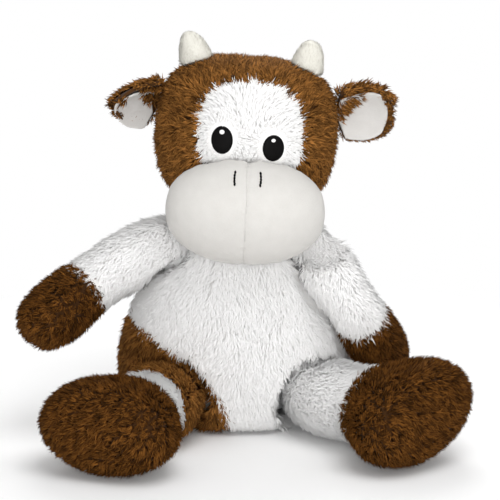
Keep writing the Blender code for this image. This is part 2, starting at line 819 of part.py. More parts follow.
def make_eyes(form, guards, parent):
    """Embroidered eyes, each a low oval with a glint, standing on the blaze."""
    for side, place in (("left", EYE_LEFT_PLACE), ("right", EYE_RIGHT_PLACE)):
        spot_x = HEAD_CENTRE.x + place.x
        spot_z = HEAD_CENTRE.z + place.y
        centre, normal = front_point(form, spot_x, spot_z, EYE_STAND - EYE_PAD / 2.0)
        eye = oval_pad(f"eye_{side}", PART, centre, normal, EYE_WIDTH, EYE_HEIGHT, EYE_PAD)
        gap_pad = oval_pad(f"eye_{side}_guard", HELPERS, centre, normal, EYE_WIDTH + 2.0 * SEAM_GAP,
                           EYE_HEIGHT + 2.0 * SEAM_GAP, EYE_PAD + 2.0 * SEAM_GAP)
        make_cutter(gap_pad)
        finished(cut(eye, *guards), BLACK_THREAD, parent)
        rise = Vector((0.0, 0.0, GLINT_RISE))
        stand = normal * (EYE_PAD / 2.0 - GLINT_STAND)
        glint = oval_pad(f"eye_glint_{side}", PART, centre + rise + stand, normal, GLINT_WIDTH, GLINT_WIDTH,
                         EYE_STAND)
        finished(cut(glint, gap_pad), WHITE_THREAD, parent)


def cord(name, places, radius):
    """A round cord along a line of places, closed at both ends."""
    curve = bpy.data.curves.new(name, "CURVE")
    curve.dimensions = "3D"
    curve.bevel_depth = radius
    curve.bevel_resolution = CORD_SEGMENTS
    curve.use_fill_caps = True
    spline = curve.splines.new("POLY")
    spline.points.add(len(places) - 1)
    for index, place in enumerate(places):
        spline.points[index].co = (*place, 1.0)
    line = put(PART, f"{name}_line", curve)
    data = evaluated_mesh(line, name)
    bpy.data.objects.remove(line, do_unlink=True)
    mesh = bmesh.new()
    mesh.from_mesh(data)
    bmesh.ops.remove_doubles(mesh, verts=mesh.verts, dist=WELD)
    bmesh.ops.recalc_face_normals(mesh, faces=mesh.faces)
    mesh.to_mesh(data)
    mesh.free()
    return put(PART, name, data)


def make_nostrils(snout, parent):
    """Two short bowed stitches that lie on the muzzle."""
    frame = muzzle_frame()
    for side, way in SIDES:
        places = []
        for index in range(NOSTRIL_POINTS):
            share = index / (NOSTRIL_POINTS - 1)
            bow = NOSTRIL_BOW * math.sin(math.pi * share)
            drop = NOSTRIL_LENGTH * share
            spot = frame @ Vector((NOSTRIL_SHIFT + way * (NOSTRIL_SPREAD + bow), 0.0, NOSTRIL_RISE - drop))
            place, _ = front_point(snout, spot.x, spot.z, NOSTRIL_RADIUS + SEAM_GAP)
            places.append(place)
        finished(cord(f"nostril_{side}", places, NOSTRIL_RADIUS), BLACK_THREAD, parent)


def make_horns(face, parent):
    """Two soft horn stubs whose feet follow the crown."""
    frame = head_frame()
    for side, way in SIDES:
        foot = frame @ Vector((way * HORN_SPREAD, 0.0, HORN_FOOT_RISE))
        along = frame.to_3x3() @ Vector((way * math.sin(HORN_LEAN), 0.0, math.cos(HORN_LEAN)))
        across = along.cross(Vector((0.0, 1.0, 0.0))).normalized()
        deep = along.cross(across)
        rings = []
        for place, thickness in HORN_RING_SHARES:
            radius = HORN_RADIUS * thickness
            rings.append((foot + along * HORN_LENGTH * place, across * radius, deep * radius))
        cage = ring_cage(f"horn_{side}_form", rings, foot, foot + along * HORN_LENGTH, HORN_SIDES)
        horn = copy_form(smooth_form(cage), f"horn_{side}", PART)
        finished(cut(horn, face), HORN_VELOUR, parent)


def ear_half_width(along, share):
    """Half the width that a layer has at a place along the ear, this share of the way down the layer."""
    place = EAR_FIRST_SHARE + (EAR_LAST_SHARE - EAR_FIRST_SHARE) * share
    bulge = (1.0 - abs(2.0 * place - 1.0) ** EAR_ROUNDNESS) ** (1.0 / EAR_ROUNDNESS)
    return EAR_WIDTH / 2.0 * (EAR_ROOT_WIDTH_SHARE + (1.0 - EAR_ROOT_WIDTH_SHARE) * along) * bulge


def ear_leaf(name, frame, way, cup, shares, wall, lift):
    """One layer of an ear: a leaf cupped about its length, thickened away from or into the cup.

    The shares say where along the ear the layer starts and ends, its width in shares of the ear's, and how
    far its root is drawn down.
    """
    first, last, margin, drawn_down = shares
    mesh = bmesh.new()
    rows = []
    for row in range(EAR_LENGTH_CELLS + 1):
        share = row / EAR_LENGTH_CELLS
        along = first + (last - first) * share
        rim = ear_half_width(along, along)
        half = ear_half_width(along, share) * margin
        reach = EAR_LENGTH * (along - EAR_FIRST_SHARE)
        line = []
        for column in range(EAR_WIDTH_CELLS + 1):
            rise = half * (2.0 * column / EAR_WIDTH_CELLS - 1.0) - rim * drawn_down * (1.0 - along)
            depth = cup * (1.0 - (rise / rim) ** 2) - lift
            line.append(mesh.verts.new(frame @ Vector((way * reach, depth, rise))))
        rows.append(line)
    for lower, upper in zip(rows, rows[1:]):
        for column in range(EAR_WIDTH_CELLS):
            corners = (lower[column], lower[column + 1], upper[column + 1], upper[column])
            mesh.faces.new(corners if way > 0.0 else tuple(reversed(corners)))
    data = bpy.data.meshes.new(name)
    mesh.to_mesh(data)
    mesh.free()
    leaf = put(PART, name, data)
    solid = leaf.modifiers.new("cloth", "SOLIDIFY")
    solid.thickness = wall
    solid.offset = -1.0 if lift > 0.0 else 1.0
    return leaf


def make_ears(guards, empties):
    """Both ears, their roots relieved for the flop."""
    for side, way, cup, turn, fall, swing in (
        ("left", -1.0, EAR_LEFT_CUP, EAR_LEFT_TURN, EAR_LEFT_FALL, EAR_LEFT_SWING),
        ("right", 1.0, EAR_RIGHT_CUP, EAR_RIGHT_TURN, EAR_RIGHT_FALL, EAR_RIGHT_SWING),
    ):
        root = EAR_ROOTS[side]
        tilt = Matrix.Rotation(fall * way, 4, "Y") @ Matrix.Rotation(turn, 4, "X")
        frame = Matrix.Translation(root) @ Matrix.Rotation(-swing * way, 4, "Z") @ tilt
        turns = [spin(angle, "Y", root) for angle in (-EAR_FLOP_RANGE, EAR_FLOP_RANGE)]
        reliefs = sweep(f"ear_{side}_sweep", guards, turns)
        back = ear_leaf(f"ear_{side}_back", frame, way, cup, EAR_BACK_SHARES, EAR_BACK, 0.0)
        finished(cut(back, *reliefs), BROWN_PLUSH, empties[side])
        lining = ear_leaf(f"ear_{side}_lining", frame, way, cup, EAR_LINING_SHARES, EAR_LINING, EAR_LAYER_GAP)
        finished(cut(lining, *reliefs), MUZZLE_VELOUR, empties[side])


def limb_opening(name, root, along):
    """The small hole at a limb's root through which it was filled."""
    mesh = bmesh.new()
    turn = along.to_track_quat("Z", "Y").to_matrix().to_4x4()
    bmesh.ops.create_cone(mesh, cap_ends=True, segments=OPENING_SEGMENTS, radius1=FILLING_OPENING_RADIUS,
                          radius2=FILLING_OPENING_RADIUS, depth=4.0 * PLUSH_COVER,
                          matrix=Matrix.Translation(root) @ turn)
    data = bpy.data.meshes.new(name)
    mesh.to_mesh(data)
    mesh.free()
    return make_cutter(put(HELPERS, name, data))


def cover_pieces(form, pieces, reliefs, opening, parent):
    """Cut a limb's cover into its pieces, each between two planes along the limb.

    A piece is (name, material, place and way of the plane it starts at, the same of the one it ends at).
    """
    for name, material, start, end in pieces:
        piece = hollow(copy_form(form, name, PART), PLUSH_COVER)
        if start is None:
            cut(piece, *reliefs, opening)
        else:
            place, way = start
            cut(piece, half_space(f"{name}_start", place + way * SEAM_GAP / 2.0, way), operation="INTERSECT")
            cut(piece, reliefs[0])
        if end is not None:
            place, way = end
            cut(piece, half_space(f"{name}_end", place - way * SEAM_GAP / 2.0, way))
        cut(piece, FLOOR)
        finished(piece, material, parent)


def make_arm(side, ends, length, guards, turns, snout, parent):
    """A sleeve of this length and a paw over one filling, clear of the muzzle as the head turns and nods."""
    shoulder, bend, paw = ends
    form = arm_form(f"arm_{side}_form", shoulder, bend, paw)
    clear = [make_cutter(put(HELPERS, f"arm_{side}_snout", snout.data))]
    for turn in turns:
        clear.append(make_cutter(put(HELPERS, f"arm_{side}_snout", snout.data)))
        clear[-1].matrix_world = turn
    bpy.context.view_layer.update()
    reliefs = [*sweep(f"arm_{side}_sweep", guards, turns), *clear]
    _, along = bent_point(shoulder, bend, paw, 0.0)
    opening = limb_opening(f"arm_{side}_opening", shoulder - along * ARM_BALL_RADIUS, along)
    cuff = bent_point(shoulder, bend, paw, length / (paw - shoulder).length)
    pieces = (
        (f"arm_{side}_sleeve", WHITE_PLUSH, None, cuff),
        (f"arm_{side}_paw", BROWN_PLUSH, cuff, None),
    )
    cover_pieces(form, pieces, reliefs, opening, parent)
    filled(form, f"arm_{side}_stuffing", PLUSH_COVER, (guards[1], *reliefs[1:]), parent)


def make_leg(side, ends, guards, turns, has_band, thigh_material, parent):
    """A thigh, where the leg has one an ankle band, a foot and its sole over one length of filling."""
    hip, foot, toe = ends
    form = leg_form(f"leg_{side}_form", hip, foot, toe)
    reliefs = sweep(f"leg_{side}_sweep", guards, turns)
    along = (foot - hip).normalized()
    opening = limb_opening(f"leg_{side}_opening", hip - along * LEG_BALL_RADIUS, along)
    band = (hip + along * BAND_START, along)
    ankle = (hip + along * FOOT_START, along)
    sole = (foot + along * FOOT_DEPTH / 2.0 * SOLE_START_SHARE, along)
    pieces = [
        (f"leg_{side}_thigh", thigh_material, None, band if has_band else ankle),
        (f"leg_{side}_foot", BROWN_PLUSH, ankle, sole),
        (f"leg_{side}_sole", BROWN_PLUSH, sole, None),
    ]
    if has_band:
        pieces.insert(1, (f"leg_{side}_band", WHITE_PLUSH, band, ankle))
    cover_pieces(form, pieces, reliefs, opening, parent)
    filled(form, f"leg_{side}_stuffing", PLUSH_COVER, (guards[1], *reliefs[1:]), parent)


def make_tail(guards, parent):
    """A thin stem that leaves the back seam and hangs, with a tuft round its end."""
    turns = [spin(-share * TAIL_RANGE[1], "X", TAIL_ROOT) for share in (0.5, 1.0)]
    reliefs = sweep("tail_sweep", guards, turns)
    start = TAIL_ROOT - Vector((0.0, TAIL_SINK, 0.0))
    end = TAIL_ROOT + Vector((0.0, TAIL_REACH, -TAIL_DROP))
    knee = Vector((0.0, end.y, TAIL_ROOT.z))
    places = []
    for index in range(TAIL_POINTS):
        share = index / (TAIL_POINTS - 1)
        places.append(start * (1.0 - share) ** 2 + knee * 2.0 * share * (1.0 - share) + end * share ** 2)
    finished(cut(cord("tail_stem", places, TAIL_STEM_RADIUS), *reliefs), WHITE_PLUSH, parent)

    top = end - Vector((0.0, 0.0, SEAM_GAP))
    rings = []
    for place, thickness in TUFT_RING_SHARES:
        radius = TUFT_RADIUS * thickness
        centre = top - Vector((0.0, 0.0, TUFT_LENGTH * place))
        rings.append((centre, Vector((radius, 0.0, 0.0)), Vector((0.0, radius, 0.0))))
    cage = ring_cage("tuft_form", rings, top, top - Vector((0.0, 0.0, TUFT_LENGTH)), TUFT_SIDES)
    finished(copy_form(smooth_form(cage), "tail_tuft", PART), BROWN_PLUSH, parent)


clear_scene()
PART = new_collection("plush_cow")
HELPERS = new_collection("helpers")

BROWN_PLUSH = cloth("brown_plush", BROWN, PLUSH_ROUGHNESS)
WHITE_PLUSH = cloth("white_plush", WHITE, PLUSH_ROUGHNESS)
MUZZLE_VELOUR = cloth("muzzle_velour", MUZZLE_WHITE, PLUSH_ROUGHNESS)
HORN_VELOUR = cloth("horn_velour", CREAM, PLUSH_ROUGHNESS)
FILLING_FLEECE = cloth("filling", FILLING, PLUSH_ROUGHNESS)
PELLET_BAG = cloth("pellet_bag", PELLETS, PLUSH_ROUGHNESS)
BLACK_THREAD = cloth("black_thread", BLACK, THREAD_ROUGHNESS)
WHITE_THREAD = cloth("white_thread", WHITE, THREAD_ROUGHNESS)

# Room that the torso gives to what plugs into it: name, centre and radius of the plug
SOCKETS = (
    ("neck", NECK_CENTRE, NECK_RADIUS),
    ("shoulder_left", ARM_LEFT_SHOULDER, ARM_BALL_RADIUS),
    ("shoulder_right", ARM_RIGHT_SHOULDER, ARM_BALL_RADIUS),
    ("hip_left", LEG_LEFT_HIP, LEG_BALL_RADIUS),
    ("hip_right", LEG_RIGHT_HIP, LEG_BALL_RADIUS),
)
EAR_ROOTS = {
    side: head_frame() @ Vector((way * (HEAD_WIDTH / 2.0 - EAR_ROOT_DROP / 2.0), 0.0, EAR_ROOT_RISE))
    for side, way in SIDES
}

FLOOR = half_space("floor", Vector((0.0, 0.0, 0.0)), Vector((0.0, 0.0, -1.0)))
neck_relief()
TORSO = torso_form()
HEAD = head_form()
MUZZLE = muzzle_form()
TORSO_GUARDS = (
    torso_guard(TORSO, "torso_guard", SEAM_GAP),
    torso_guard(TORSO, "torso_wide_guard", SWEEP_GAP),
)

neck_joint = joint_empty("joint_neck", NECK_CENTRE)
head_joint = joint_empty("joint_head", NECK_CENTRE, neck_joint)
ear_joints = {side: joint_empty(f"joint_ear_{side}", EAR_ROOTS[side], head_joint) for side, _ in SIDES}

make_torso(TORSO)
make_neck(neck_joint)
HEAD_TURNS = [
    spin(turn, "Z", NECK_CENTRE) @ spin(nod, "X", NECK_CENTRE)
    for turn in (-NECK_TURN_RANGE, 0.0, NECK_TURN_RANGE)
    for nod in (0.0, NECK_NOD_RANGE)
]
CHIN_TURNS = [turn.inverted() for turn in HEAD_TURNS]
FACE = make_head(HEAD, MUZZLE, sweep("chin_sweep", TORSO_GUARDS, CHIN_TURNS), head_joint)
SNOUT = settled(grown(MUZZLE, "muzzle_guard", SEAM_GAP, HELPERS))
WIDE_SNOUT = settled(grown(MUZZLE, "muzzle_wide_guard", SWEEP_GAP, HELPERS))
SWEPT_SNOUT = swept_hull("muzzle_sweep", WIDE_SNOUT, HEAD_TURNS)
make_eyes(settled(copy_form(HEAD, "head_surface", HELPERS)), (FACE, SNOUT), head_joint)
make_nostrils(settled(copy_form(MUZZLE, "muzzle_surface", HELPERS)), head_joint)
make_horns(FACE, head_joint)
EAR_GUARD = settled(grown(HEAD, "ear_guard", 2.0 * SEAM_GAP, HELPERS))
make_ears((FACE, EAR_GUARD), ear_joints)

ARM_ENDS = {
    "left": (ARM_LEFT_SHOULDER, ARM_LEFT_BEND, ARM_LEFT_PAW),
    "right": (ARM_RIGHT_SHOULDER, ARM_RIGHT_BEND, ARM_RIGHT_PAW),
}
ARM_RANGES = {"left": ARM_LEFT_RANGE, "right": ARM_RIGHT_RANGE}
ARM_CUFFS = {"left": ARM_LEFT_CUFF, "right": ARM_RIGHT_CUFF}
for side, way in SIDES:
    shoulder = ARM_ENDS[side][0]
    # The left arm lifts about +Y and the right one about -Y
    low, high = ARM_RANGES[side]
    stops = [low + (high - low) * step / ARM_STOPS for step in range(ARM_STOPS + 1)]
    arm_turns = [spin(way * angle, "Y", shoulder) for angle in stops if angle]
    make_arm(side, ARM_ENDS[side], ARM_CUFFS[side], TORSO_GUARDS, arm_turns, SWEPT_SNOUT,
             joint_empty(f"joint_arm_{side}", shoulder))

LEG_ENDS = {
    "left": (LEG_LEFT_HIP, LEG_LEFT_FOOT, LEG_LEFT_TOE),
    "right": (LEG_RIGHT_HIP, LEG_RIGHT_FOOT, LEG_RIGHT_TOE),
}
for side, _ in SIDES:
    hip = LEG_ENDS[side][0]
    # A foot lifts about -X
    leg_turns = [spin(angle * OVERTURN, "X", hip) for angle in LEG_RANGE]
    thigh = BROWN_PLUSH if side == "left" else WHITE_PLUSH
    make_leg(side, LEG_ENDS[side], TORSO_GUARDS, leg_turns, side == "left", thigh,
             joint_empty(f"joint_leg_{side}", hip))

make_tail(TORSO_GUARDS, joint_empty("joint_tail", TAIL_ROOT))
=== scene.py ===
# %% [markdown]
# # A seated plush cow
#
# This lesson dresses the plain model of a seated plush cow. The plain model gives every piece its place
# and size. Each step adds what cloth does: covers that swell over their filling, long brown and white
# pile, a short-haired muzzle with a seam, embroidered eyes and stitched nostrils.

# %% Start with the plain model

import json

import bmesh
import bpy
import numpy as np
from mathutils import Matrix, Vector
from mathutils.bvhtree import BVHTree

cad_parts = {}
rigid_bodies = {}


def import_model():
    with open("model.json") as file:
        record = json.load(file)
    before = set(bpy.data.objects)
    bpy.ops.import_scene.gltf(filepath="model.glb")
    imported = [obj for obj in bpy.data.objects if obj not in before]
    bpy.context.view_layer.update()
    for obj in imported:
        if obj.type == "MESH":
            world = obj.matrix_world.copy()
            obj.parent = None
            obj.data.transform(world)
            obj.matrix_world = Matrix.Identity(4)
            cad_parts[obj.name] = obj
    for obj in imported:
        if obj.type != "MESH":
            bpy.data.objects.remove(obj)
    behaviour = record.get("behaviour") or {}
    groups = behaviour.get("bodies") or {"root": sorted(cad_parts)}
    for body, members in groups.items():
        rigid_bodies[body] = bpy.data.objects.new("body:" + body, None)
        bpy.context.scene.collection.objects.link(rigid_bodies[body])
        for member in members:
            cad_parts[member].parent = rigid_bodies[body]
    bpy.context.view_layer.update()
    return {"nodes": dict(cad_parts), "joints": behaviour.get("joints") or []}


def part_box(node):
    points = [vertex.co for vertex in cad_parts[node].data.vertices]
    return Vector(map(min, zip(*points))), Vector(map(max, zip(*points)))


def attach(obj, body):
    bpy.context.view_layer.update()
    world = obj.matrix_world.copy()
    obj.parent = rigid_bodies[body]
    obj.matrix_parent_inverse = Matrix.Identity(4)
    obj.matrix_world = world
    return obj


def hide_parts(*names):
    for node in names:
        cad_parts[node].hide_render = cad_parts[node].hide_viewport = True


for left_over in list(bpy.data.objects):
    bpy.data.objects.remove(left_over, do_unlink=True)
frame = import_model()
NODES = frame["nodes"]

# %% [markdown]
# ## Lengths
#
# All lengths are in metres, and hairs are counted per square metre. The plain model's surface is the
# middle of the pile, so the woven ground of each cover lies a few millimetres inside it and the tips of
# the hairs a few millimetres outside.

# %% Name the lengths

MM = 0.001
GROUND_DEPTH = 4.4 * MM
GROUND_CLOTH = 1.0 * MM
PILE_LENGTH = 10.0 * MM
HAIR_WIDTH = 0.85 * MM
HAIRS_PER_AREA = 1.08e6
HAIRS_PER_PIECE = 32000
PUFF_MESH = 5.0 * MM
PUFF_PRESSURE = 4.0
PUFF_FRAMES = 20
PUFF_LIMIT = 2.2 * MM
SEAM_REACH = 5.0 * MM
SEAM_DIP = 1.6 * MM
SEAM_DIP_VELOUR = 1.0 * MM
HIDDEN_REACH = 5.0 * MM
FLOOR_CLEAR = 0.2 * MM
SEED = 11
print("pile of", PILE_LENGTH / MM, "mm on a ground", GROUND_DEPTH / MM, "mm inside the plain surface")

# %% [markdown]
# ## Which nodes make up each stuffed form
#
# A form is a closed shape that one cover follows: the torso, the head, the muzzle and so on. Its panels
# are the nodes that show, and its filling is the soft mass inside.

# %% List the forms

FORMS = {
    "torso": {"panels": ("belly_panel", "back_panel", "hip_patch"), "filling": "torso_stuffing"},
    "head": {"panels": ("head_side_left", "head_side_right", "face_blaze"), "filling": "head_stuffing"},
    "muzzle": {"panels": ("muzzle_left", "muzzle_right"), "filling": "muzzle_stuffing"},
    "arm_left": {"panels": ("arm_left_sleeve", "arm_left_paw"), "filling": "arm_left_stuffing"},
    "arm_right": {"panels": ("arm_right_sleeve", "arm_right_paw"), "filling": "arm_right_stuffing"},
    "leg_left": {
        "panels": ("leg_left_thigh", "leg_left_band", "leg_left_foot", "leg_left_sole"),
        "filling": "leg_left_stuffing",
    },
    "leg_right": {
        "panels": ("leg_right_thigh", "leg_right_foot", "leg_right_sole"),
        "filling": "leg_right_stuffing",
    },
}
BODY_OF_FORM = {
    "torso": "torso",
    "head": "head",
    "muzzle": "head",
    "arm_left": "arm_left",
    "arm_right": "arm_right",
    "leg_left": "leg_left",
    "leg_right": "leg_right",
}
BROWN_NODES = {
    "hip_patch", "head_side_left", "head_side_right", "arm_left_paw", "arm_right_paw", "leg_left_thigh",
    "leg_left_foot", "leg_left_sole", "leg_right_foot", "leg_right_sole", "ear_left_back",
    "ear_right_back", "tail_tuft",
}
print(len(FORMS), "forms and", sum(len(parts["panels"]) for parts in FORMS.values()), "panels")

# %% [markdown]
# ## Reading the plain model's surfaces
#
# Small helpers read a node's points and triangles, build an object from them and change it, and join
# several nodes into one surface that can answer which point lies nearest.

# %% Helpers for meshes


def node_arrays(name):
    """The points and triangles of a node of the plain model."""
    mesh = NODES[name].data
    points = np.empty(len(mesh.vertices) * 3)
    mesh.vertices.foreach_get("co", points)
    mesh.calc_loop_triangles()
    corners = np.empty(len(mesh.loop_triangles) * 3, dtype=np.int32)
    mesh.loop_triangles.foreach_get("vertices", corners)
    return points.reshape(-1, 3), corners.reshape(-1, 3)


def joined_arrays(names):
    """Several nodes as one list of points and triangles."""
    all_points = []
    all_corners = []
    start = 0
    for name in names:
        points, corners = node_arrays(name)
        all_points.append(points)
        all_corners.append(corners + start)
        start += len(points)
    return np.concatenate(all_points), np.concatenate(all_corners)


def new_object(name, points, faces):
    """A mesh object at the origin."""
    mesh = bpy.data.meshes.new(name)
    mesh.from_pydata([tuple(point) for point in points], [], [tuple(int(v) for v in face) for face in faces])
    mesh.update()
    thing = bpy.data.objects.new(name, mesh)
    bpy.context.scene.collection.objects.link(thing)
    return thing


def mesh_points(thing):
    """An object's points as an array."""
    points = np.empty(len(thing.data.vertices) * 3)
    thing.data.vertices.foreach_get("co", points)
    return points.reshape(-1, 3)


def mesh_normals(thing):
    """The direction each point of an object faces."""
    normals = np.empty(len(thing.data.vertices) * 3)
    thing.data.vertices.foreach_get("normal", normals)
    return normals.reshape(-1, 3)


def set_points(thing, points):
    """Move an object's points."""
    thing.data.vertices.foreach_set("co", points.ravel())
    thing.data.update()


def apply_modifiers(thing):
    """Make an object's modifiers part of its mesh."""
    graph = bpy.context.evaluated_depsgraph_get()
    mesh = bpy.data.meshes.new_from_object(thing.evaluated_get(graph))
    thing.modifiers.clear()
    old = thing.data
    thing.data = mesh
    mesh.name = thing.name
    bpy.data.meshes.remove(old)
    return thing


def tree_of(names):
    """A search tree over several nodes."""
    points, corners = joined_arrays(names)
    return BVHTree.FromPolygons([tuple(p) for p in points], [tuple(int(v) for v in c) for c in corners])


print("helpers ready")

# %% [markdown]
# ## One closed form for each stuffed shape
#
# A stuffed cover is one closed skin. Boolean unions could join its panels, but a voxel remesh does it
# for any shapes and leaves the even mesh that a cloth simulation needs. A little smoothing takes off
# the steps that it leaves. The right arm's solid has a ledge where its root is cut away, and cloth
# would hang smoothly over it, so the form is evened out there.

# %% Fuse each form


def keep_outside(thing):
    """Drop closed hollows that lie inside the form, which share no point with its outside."""
    mesh = bmesh.new()
    mesh.from_mesh(thing.data)
    left = set(mesh.verts)
    shells = []
    while left:
        start = left.pop()
        shell = [start]
        queue = [start]
        while queue:
            point = queue.pop()
            for edge in point.link_edges:
                other = edge.other_vert(point)
                if other in left:
                    left.discard(other)
                    shell.append(other)
                    queue.append(other)
        shells.append(shell)
    shells.sort(key=len)
    for shell in shells[:-1]:
        bmesh.ops.delete(mesh, geom=shell, context="VERTS")
    mesh.to_mesh(thing.data)
    mesh.free()
    return thing


def fuse(name, names, voxel, rounds):
    """One closed even mesh round several nodes."""
    points, corners = joined_arrays(names)
    thing = new_object(name, points, corners)
    remesh = thing.modifiers.new("fuse", "REMESH")
    remesh.mode = "VOXEL"
    remesh.voxel_size = voxel
    remesh.adaptivity = 0.0
    smooth = thing.modifiers.new("even", "SMOOTH")
    smooth.factor = 0.5
    smooth.iterations = rounds
    apply_modifiers(thing)
    return keep_outside(thing)


def relax(thing, centre, reach, rounds):
    """Even out a form round a place, most at the place itself."""
    points = mesh_points(thing)
    edges = np.array([edge.vertices[:] for edge in thing.data.edges])
    count = np.bincount(edges.ravel(), minlength=len(points))[:, None]
    near = np.clip(1.0 - np.linalg.norm(points - centre, axis=1) / reach, 0.0, 1.0)[:, None] ** 0.5
    for _ in range(rounds):
        total = np.zeros_like(points)
        np.add.at(total, edges[:, 0], points[edges[:, 1]])
        np.add.at(total, edges[:, 1], points[edges[:, 0]])
        points += (total / count - points) * near
    set_points(thing, points)


JOINT_PLACES = {joint["child"]: np.array(joint["pos_m"]) for joint in frame["joints"]}
SHOULDER_STEP = 24.0 * MM
SHOULDER_REACH = 34.0 * MM
SHOULDER_ROUNDS = 30
FORM_ROUNDS = 2

forms = {}
for name, parts in FORMS.items():
    forms[name] = fuse(f"{name}_form", (*parts["panels"], parts["filling"]), PUFF_MESH, FORM_ROUNDS)
    print(name, "form:", len(forms[name].data.vertices), "points")
shoulder = JOINT_PLACES["arm_right"]
low, high = (np.array(corner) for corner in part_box("arm_right_paw"))
down_arm = (low + high) / 2.0 - shoulder
ledge = shoulder + down_arm / np.linalg.norm(down_arm) * SHOULDER_STEP
relax(forms["arm_right"], ledge, SHOULDER_REACH, SHOULDER_ROUNDS)

# %% [markdown]
# ## Seams
#
# On the toy a seam is a line of stitches between two panels. It could be drawn by hand, but the panels
# themselves tell where it runs. Where two panels of a form meet, the nearest and the second nearest
# panel are equally far away. The difference of the two distances therefore tells how far a point lies
# from the seam.

# %% Find the seams


def panel_distances(points, names):
    """For each point, its distance to each named node."""
    columns = []
    for name in names:
        tree = tree_of([name])
        columns.append([tree.find_nearest(Vector(point))[3] for point in points])
    return np.array(columns).T


def seam_distance(distances):
    """How far each point lies from the nearest seam between two panels."""
    if distances.shape[1] < 2:
        return np.full(len(distances), 1.0)
    ordered = np.sort(distances, axis=1)
    return ordered[:, 1] - ordered[:, 0]


print("seams drawn in over", SEAM_REACH / MM, "mm")

# %% [markdown]
# ## Covers swell between their seams
#
# Filling presses a cover outwards, and its seams hold it back. Moving all its points outwards would
# swell the seams too, so a cloth simulation does it, with a little pressure and with the seams held. No
# point may move further than a small limit, so the form keeps the plain model's size.

# %% Swell the covers with a short cloth simulation

CLOTH_QUALITY = 5
CLOTH_MASS = 0.15
CLOTH_STRETCH = 12.0
CLOTH_BEND = 1.0
TINY = 1e-9


def swell(thing, names):
    """Blow a form up a little between its seams."""
    before = mesh_points(thing)
    held = seam_distance(panel_distances(before, names)) < SEAM_REACH / 2.0
    group = thing.vertex_groups.new(name="seams")
    group.add([int(index) for index in np.nonzero(held)[0]], 1.0, "REPLACE")
    cloth = thing.modifiers.new("swell", "CLOTH")
    cloth.settings.vertex_group_mass = "seams"
    cloth.settings.use_pressure = True
    cloth.settings.uniform_pressure_force = PUFF_PRESSURE
    cloth.settings.quality = CLOTH_QUALITY
    cloth.settings.mass = CLOTH_MASS
    cloth.settings.tension_stiffness = CLOTH_STRETCH
    cloth.settings.compression_stiffness = CLOTH_STRETCH
    cloth.settings.bending_stiffness = CLOTH_BEND
    cloth.settings.effector_weights.gravity = 0.0
    cloth.collision_settings.use_collision = False
    cloth.point_cache.frame_start = 1
    cloth.point_cache.frame_end = PUFF_FRAMES
    scene = bpy.context.scene
    for step in range(1, PUFF_FRAMES + 1):
        scene.frame_set(step)
    apply_modifiers(thing)
    scene.frame_set(1)
    move = mesh_points(thing) - before
    size = np.linalg.norm(move, axis=1, keepdims=True)
    move *= np.minimum(1.0, PUFF_LIMIT / np.maximum(size, TINY))
    set_points(thing, before + move)
    return float(size.max())


for name, parts in FORMS.items():
    farthest = swell(forms[name], parts["panels"])
    print(name, "swells by up to", round(farthest / MM, 2), "mm before the limit")

# %% [markdown]
# ## Finer meshes and drawn-in seams
#
# Each form is subdivided once, and the bare muzzle twice. Its seams are drawn in as thread draws cloth
# in. They could be cut as grooves, but moving the points near them inwards keeps one even mesh.

# %% Subdivide and draw the seams in

LEVELS = {"muzzle": 2}
SEAM_DIPS = {"muzzle": SEAM_DIP_VELOUR}


def subdivide(thing, levels):
    """Subdivide a form smoothly."""
    modifier = thing.modifiers.new("finer", "SUBSURF")
    modifier.levels = levels
    modifier.render_levels = levels
    return apply_modifiers(thing)


panel_of_point = {}
for name, parts in FORMS.items():
    thing = subdivide(forms[name], LEVELS.get(name, 1))
    points = mesh_points(thing)
    distances = panel_distances(points, parts["panels"])
    seam = seam_distance(distances)
    dip = SEAM_DIPS.get(name, SEAM_DIP) * np.clip(1.0 - seam / SEAM_REACH, 0.0, 1.0) ** 2
    set_points(thing, points - mesh_normals(thing) * dip[:, None])
    panel_of_point[name] = distances
    print(name, len(points), "points")

# %% [markdown]
# ## Which parts of a form show
#
# Covers that press on each other leave little room for hair between them. Such places could be painted
# by hand, but they follow from the shapes. A point whose outward ray soon meets another form, such as
# the inside of a shoulder's hollow, grows less hair, and none where the other form touches it.

# %% Find the covered points

RAY_LIFT = 0.2 * MM
TOUCH = 1.5 * MM
MOST_OPEN_HIT = 0.5
GROUPS = {name: [*parts["panels"]] for name, parts in FORMS.items()}
for single in ("horn_left", "horn_right", "tail_stem", "tail_tuft"):
    GROUPS[single] = [single]
for side in ("left", "right"):
    GROUPS[f"ear_{side}"] = [f"ear_{side}_back", f"ear_{side}_lining"]


def openness(points, normals, others, reach):
    """1 where nothing lies in front of a point within the reach, falling to 0 where something touches it."""
    tree = tree_of(others)
    result = np.ones(len(points))
    for index in range(len(points)):
        start = Vector(points[index]) + Vector(normals[index]) * RAY_LIFT
        hit = tree.ray_cast(start, Vector(normals[index]), reach)
        if hit[3] is not None:
            result[index] = hit[3] / reach * MOST_OPEN_HIT
        nearest = tree.find_nearest(Vector(points[index]), reach)
        if nearest[3] is not None and nearest[3] < TOUCH:
            result[index] = min(result[index], nearest[3] / (2.0 * TOUCH))
    return result


def other_nodes(group):
    """All nodes of the other groups."""
    return [node for name, nodes in GROUPS.items() if name != group for node in nodes]


open_of_point = {}
for name in FORMS:
    points = mesh_points(forms[name])
    open_of_point[name] = openness(points, mesh_normals(forms[name]), other_nodes(name), HIDDEN_REACH)
    print(name, "open share", round(float(open_of_point[name].mean()), 2))

# %% [markdown]
# ## Which way the hair lies
#
# Long pile lies the way it was brushed. It could be combed by hand, but a rule stays right when a size
# changes. Hair is brushed along each form: down the torso, back over the head from the face, out along
# the limbs and across the soles. The direction is kept for each point of the cover.

# %% Directions for the hair

